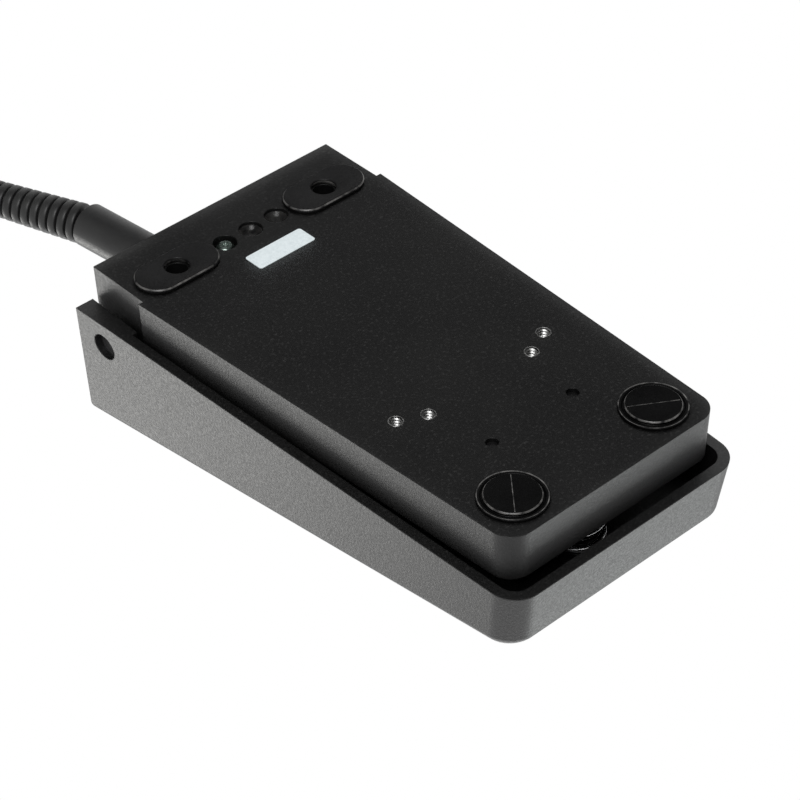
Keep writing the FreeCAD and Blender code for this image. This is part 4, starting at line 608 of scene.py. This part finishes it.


# round front feet: a disc with its mould line, standing in a beaded flange
# the low faces whose middle lies in a listed ring, the disc's rim and the flange's bead, and the mould line
# take a painted highlight

footLook = {"places": {"left": (-17.2, -44.543), "right": (17.2, -44.543)}, "segments": 72,
            "profile": [(0.0, 0.05), (4.5, 0.05), (4.75, 0.02), (4.92, 0.0), (5.0, 0.02), (5.18, 0.2),
                        (5.2, 0.3), (5.2, 0.52), (5.0, 0.56), (4.98, 0.8), (5.6, 0.82), (5.62, 0.56),
                        (5.8, 0.5), (6.08, 0.5), (6.2, 0.43), (6.28, 0.44), (6.4, 0.56), (6.4, 1.0),
                        (0.0, 1.0)],
            "highlightRings": [(4.98, 5.19), (6.06, 6.39)], "highlightBelow": 0.5,
            "seamTurns": {"left": 32.0, "right": 130.0}, "seamLength": 9.6, "seamWidth": 0.15,
            "seamHeight": 0.05, "seamRound": 0.02, "seamRoundSteps": 2}


def addSeam(mesh, look, side):
    # a slim bar across the disc, half sunk in its face
    x, y = look["places"][side]
    place = Matrix.Translation(Vector((x, y, look["seamHeight"])) * mm)
    turn = Matrix.Rotation(math.radians(look["seamTurns"][side]), 4, "Z")
    size = Vector((look["seamLength"], look["seamWidth"], 2 * look["seamHeight"])) * mm
    corners = bmesh.ops.create_cube(mesh, size=1, matrix=place @ turn @ Matrix.Diagonal((*size, 1)))["verts"]
    rounded = bmesh.ops.bevel(mesh, geom=edgesOf(corners), offset=look["seamRound"] * mm,
                              segments=look["seamRoundSteps"], profile=0.5, affect="EDGES", material=-1)
    return {face for corner in rounded["verts"] for face in corner.link_faces}


def makeFoot(look, side):
    x, y = look["places"][side]
    mesh = bmesh.new()
    spinProfile(mesh, (x, y), look["profile"], look["segments"])
    seamFaces = addSeam(mesh, look, side)
    bmesh.ops.recalc_face_normals(mesh, faces=mesh.faces)
    for face in mesh.faces:
        middle = face.calc_center_median() / mm
        reach = math.hypot(middle.x - x, middle.y - y)
        ringed = any(inner < reach < outer for inner, outer in look["highlightRings"])
        highlighted = ringed and middle.z < look["highlightBelow"]
        face.material_index = 1 if highlighted or face in seamFaces else 0
    foot = newPiece(side + "Foot", mesh, [footRubber, paintedEdgeHighlight], "base")
    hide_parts("front_foot_" + side)


for footSide in footLook["places"]:
    makeFoot(footLook, footSide)
print("feet made")


# clamp screw: a low domed head with a cross recess, sunk in its counterbore
# dome is (radius, height) from the shank round the head, cross is (length, width, height) going in

screwLook = {"place": (6.34, 44.017), "segments": 48,
             "dome": [(1.45, 9.0), (1.45, 2.72), (2.2, 2.7), (2.2, 2.4), (1.72, 2.3), (1.68, 1.95),
                      (1.5, 1.62), (1.2, 1.4)],
             "cross": [(1.8, 0.62, 1.34), (1.2, 0.46, 1.9)]}


def crossShape(length, width):
    # moves the corners of a circle onto a cross of two bars
    def moved(across, along):
        size = math.hypot(across, along)
        wide = max(abs(across), abs(along)) / size
        slim = min(abs(across), abs(along)) / size
        reach = min(length / 2 / wide, width / 2 / slim)
        return across * reach / size, along * reach / size
    return moved


def makeScrew(look):
    mesh = bmesh.new()
    rings = [makeRing(mesh, look["place"], radius, height, look["segments"])
             for radius, height in look["dome"]]
    rings += [makeRing(mesh, look["place"], 1.0, height, look["segments"], crossShape(length, width))
              for length, width, height in look["cross"]]
    joinRings(mesh, rings)
    for ring in (rings[0], rings[-1]):
        bmesh.ops.contextual_create(mesh, geom=ring)
    bmesh.ops.recalc_face_normals(mesh, faces=mesh.faces)
    screw = newPiece("crossHeadScrew", mesh, [screwSteel], "base")
    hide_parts("clamp_screw")


makeScrew(screwLook)
print("screw made")


# coating that ran together at the bottom of the two unused counterbores; its lighter patches are a painted
# glint

poolLook = {"places": [(0.0, 44.017), (-6.34, 44.017)], "segments": 48,
            "dish": [(2.33, 2.8), (2.33, 1.6), (2.2, 1.68), (1.9, 1.95), (1.6, 2.22), (1.25, 2.5),
                     (0.8, 2.66), (0.0, 2.7), (0.0, 2.8), (2.33, 2.8)]}


def makePools(look):
    mesh = bmesh.new()
    for place in look["places"]:
        spinProfile(mesh, place, look["dish"], look["segments"])
    bmesh.ops.recalc_face_normals(mesh, faces=mesh.faces)
    newPiece("pooledCoat", mesh, [pooledPaintAndGlint], "base")


makePools(poolLook)
print("pools made")


# studio: one-sided pale floor, white surroundings and soft lamps above and below

studioLook = {"floorColour": (0.84, 0.84, 0.84), "floorSize": 6.0, "fadeFrom": 0.3, "fadeTo": 1.1,
              "ambient": 0.45, "white": 1.0,
              "lamps": {"topSoft": {"place": (0.0, 0.05, 1.10), "width": 0.9, "power": 4.0,
                                    "tint": (1.0, 1.0, 1.0)},
                        "topKey": {"place": (-0.48, -0.42, 0.78), "width": 0.4, "power": 1.35,
                                   "tint": (0.96, 1.0, 0.985)},
                        "topFill": {"place": (0.40, 0.63, 0.66), "width": 0.4, "power": 1.8,
                                    "tint": (1.0, 0.995, 0.965)},
                        "lowFill": {"place": (0.45, -0.35, -0.75), "width": 0.4, "power": 4.5,
                                    "tint": (1.0, 1.0, 1.0)},
                        "lowSheen": {"place": (-0.45, 0.45, -0.60), "width": 0.6, "power": 1.8,
                                     "tint": (1.0, 1.0, 1.0)}}}


def mixShaders(tree, share, first, second, target):
    mix = tree.nodes.new("ShaderNodeMixShader")
    tree.links.new(share, mix.inputs[0])
    tree.links.new(first.outputs[0], mix.inputs[1])
    tree.links.new(second.outputs[0], mix.inputs[2])
    tree.links.new(mix.outputs[0], tree.nodes[target].inputs["Surface"])


def floorPaper(look):
    # the paper is seen from above only, and thins out away from the object
    material = bpy.data.materials.new("floorPaper")
    material.use_nodes = True
    tree = material.node_tree
    tree.nodes.remove(tree.nodes["Principled BSDF"])
    paper = tree.nodes.new("ShaderNodeBsdfDiffuse")
    paper.inputs["Color"].default_value = (*look["floorColour"], 1)
    clear = tree.nodes.new("ShaderNodeBsdfTransparent")
    side = tree.nodes.new("ShaderNodeNewGeometry")
    reach = tree.nodes.new("ShaderNodeVectorMath")
    reach.operation = "LENGTH"
    tree.links.new(objectPoints(tree), reach.inputs[0])
    fade = spread(tree, reach.outputs["Value"], look["fadeFrom"], look["fadeTo"])
    unseen = combine(tree, "MAXIMUM", side.outputs["Backfacing"], fade)
    mixShaders(tree, unseen, paper, clear, "Material Output")
    return material


def makeFloor(look):
    mesh = bmesh.new()
    bmesh.ops.create_grid(mesh, x_segments=1, y_segments=1, size=look["floorSize"] / 2)
    data = bpy.data.meshes.new("floor")
    mesh.to_mesh(data)
    mesh.free()
    data.materials.append(floorPaper(look))
    floor = bpy.data.objects.new("floor", data)
    bpy.context.scene.collection.objects.link(floor)
    # the lamps below shine through it, and it throws no light back up
    floor.visible_shadow = False
    floor.visible_diffuse = False


def makeWorld(look):
    # white where it is seen, mirrored or seen through glass, and dimmer as a light
    world = bpy.data.worlds.new("studio")
    bpy.context.scene.world = world
    world.use_nodes = True
    tree = world.node_tree
    ambient = tree.nodes["Background"]
    white = tree.nodes.new("ShaderNodeBackground")
    for background, strength in ((ambient, look["ambient"]), (white, look["white"])):
        background.inputs["Color"].default_value = (1, 1, 1, 1)
        background.inputs["Strength"].default_value = strength
    rays = tree.nodes.new("ShaderNodeLightPath")
    seen = combine(tree, "MAXIMUM", rays.outputs["Is Camera Ray"], rays.outputs["Is Glossy Ray"])
    seen = combine(tree, "MAXIMUM", seen, rays.outputs["Is Transmission Ray"])
    mixShaders(tree, seen, ambient, white, "World Output")


def makeLamp(name, place, width, power, tint):
    # a round soft lamp aimed at the object's middle
    data = bpy.data.lights.new(name, "AREA")
    data.shape = "DISK"
    data.size = width
    data.energy = power
    data.color = tint
    lamp = bpy.data.objects.new(name, data)
    lamp.location = place
    lamp.rotation_mode = "QUATERNION"
    lamp.rotation_quaternion = (-Vector(place)).to_track_quat("-Z", "Y")
    bpy.context.scene.collection.objects.link(lamp)


makeFloor(studioLook)
makeWorld(studioLook)
for lampName, lampValues in studioLook["lamps"].items():
    makeLamp(lampName, **lampValues)
print("studio lit")


# camera: below the pedal, as the photograph looks at its underside

cameraLook = {"place": (0.272448, -0.299070, -0.321750), "target": (0.006445, -0.004610, 0.010),
              "roll": 179.175, "lens": 128.826, "clipStart": 0.01}


def makeCamera(look):
    data = bpy.data.cameras.new("camera")
    data.lens = look["lens"]
    data.clip_start = look["clipStart"]
    camera = bpy.data.objects.new("camera", data)
    camera.location = look["place"]
    camera.rotation_mode = "QUATERNION"
    aim = (Vector(look["target"]) - Vector(look["place"])).to_track_quat("-Z", "Y")
    roll = Matrix.Rotation(math.radians(look["roll"]), 3, "Z").to_quaternion()
    camera.rotation_quaternion = aim @ roll
    bpy.context.scene.collection.objects.link(camera)
    bpy.context.scene.camera = camera


makeCamera(cameraLook)
bpy.context.scene.view_settings.view_transform = "Standard"
print("camera set")
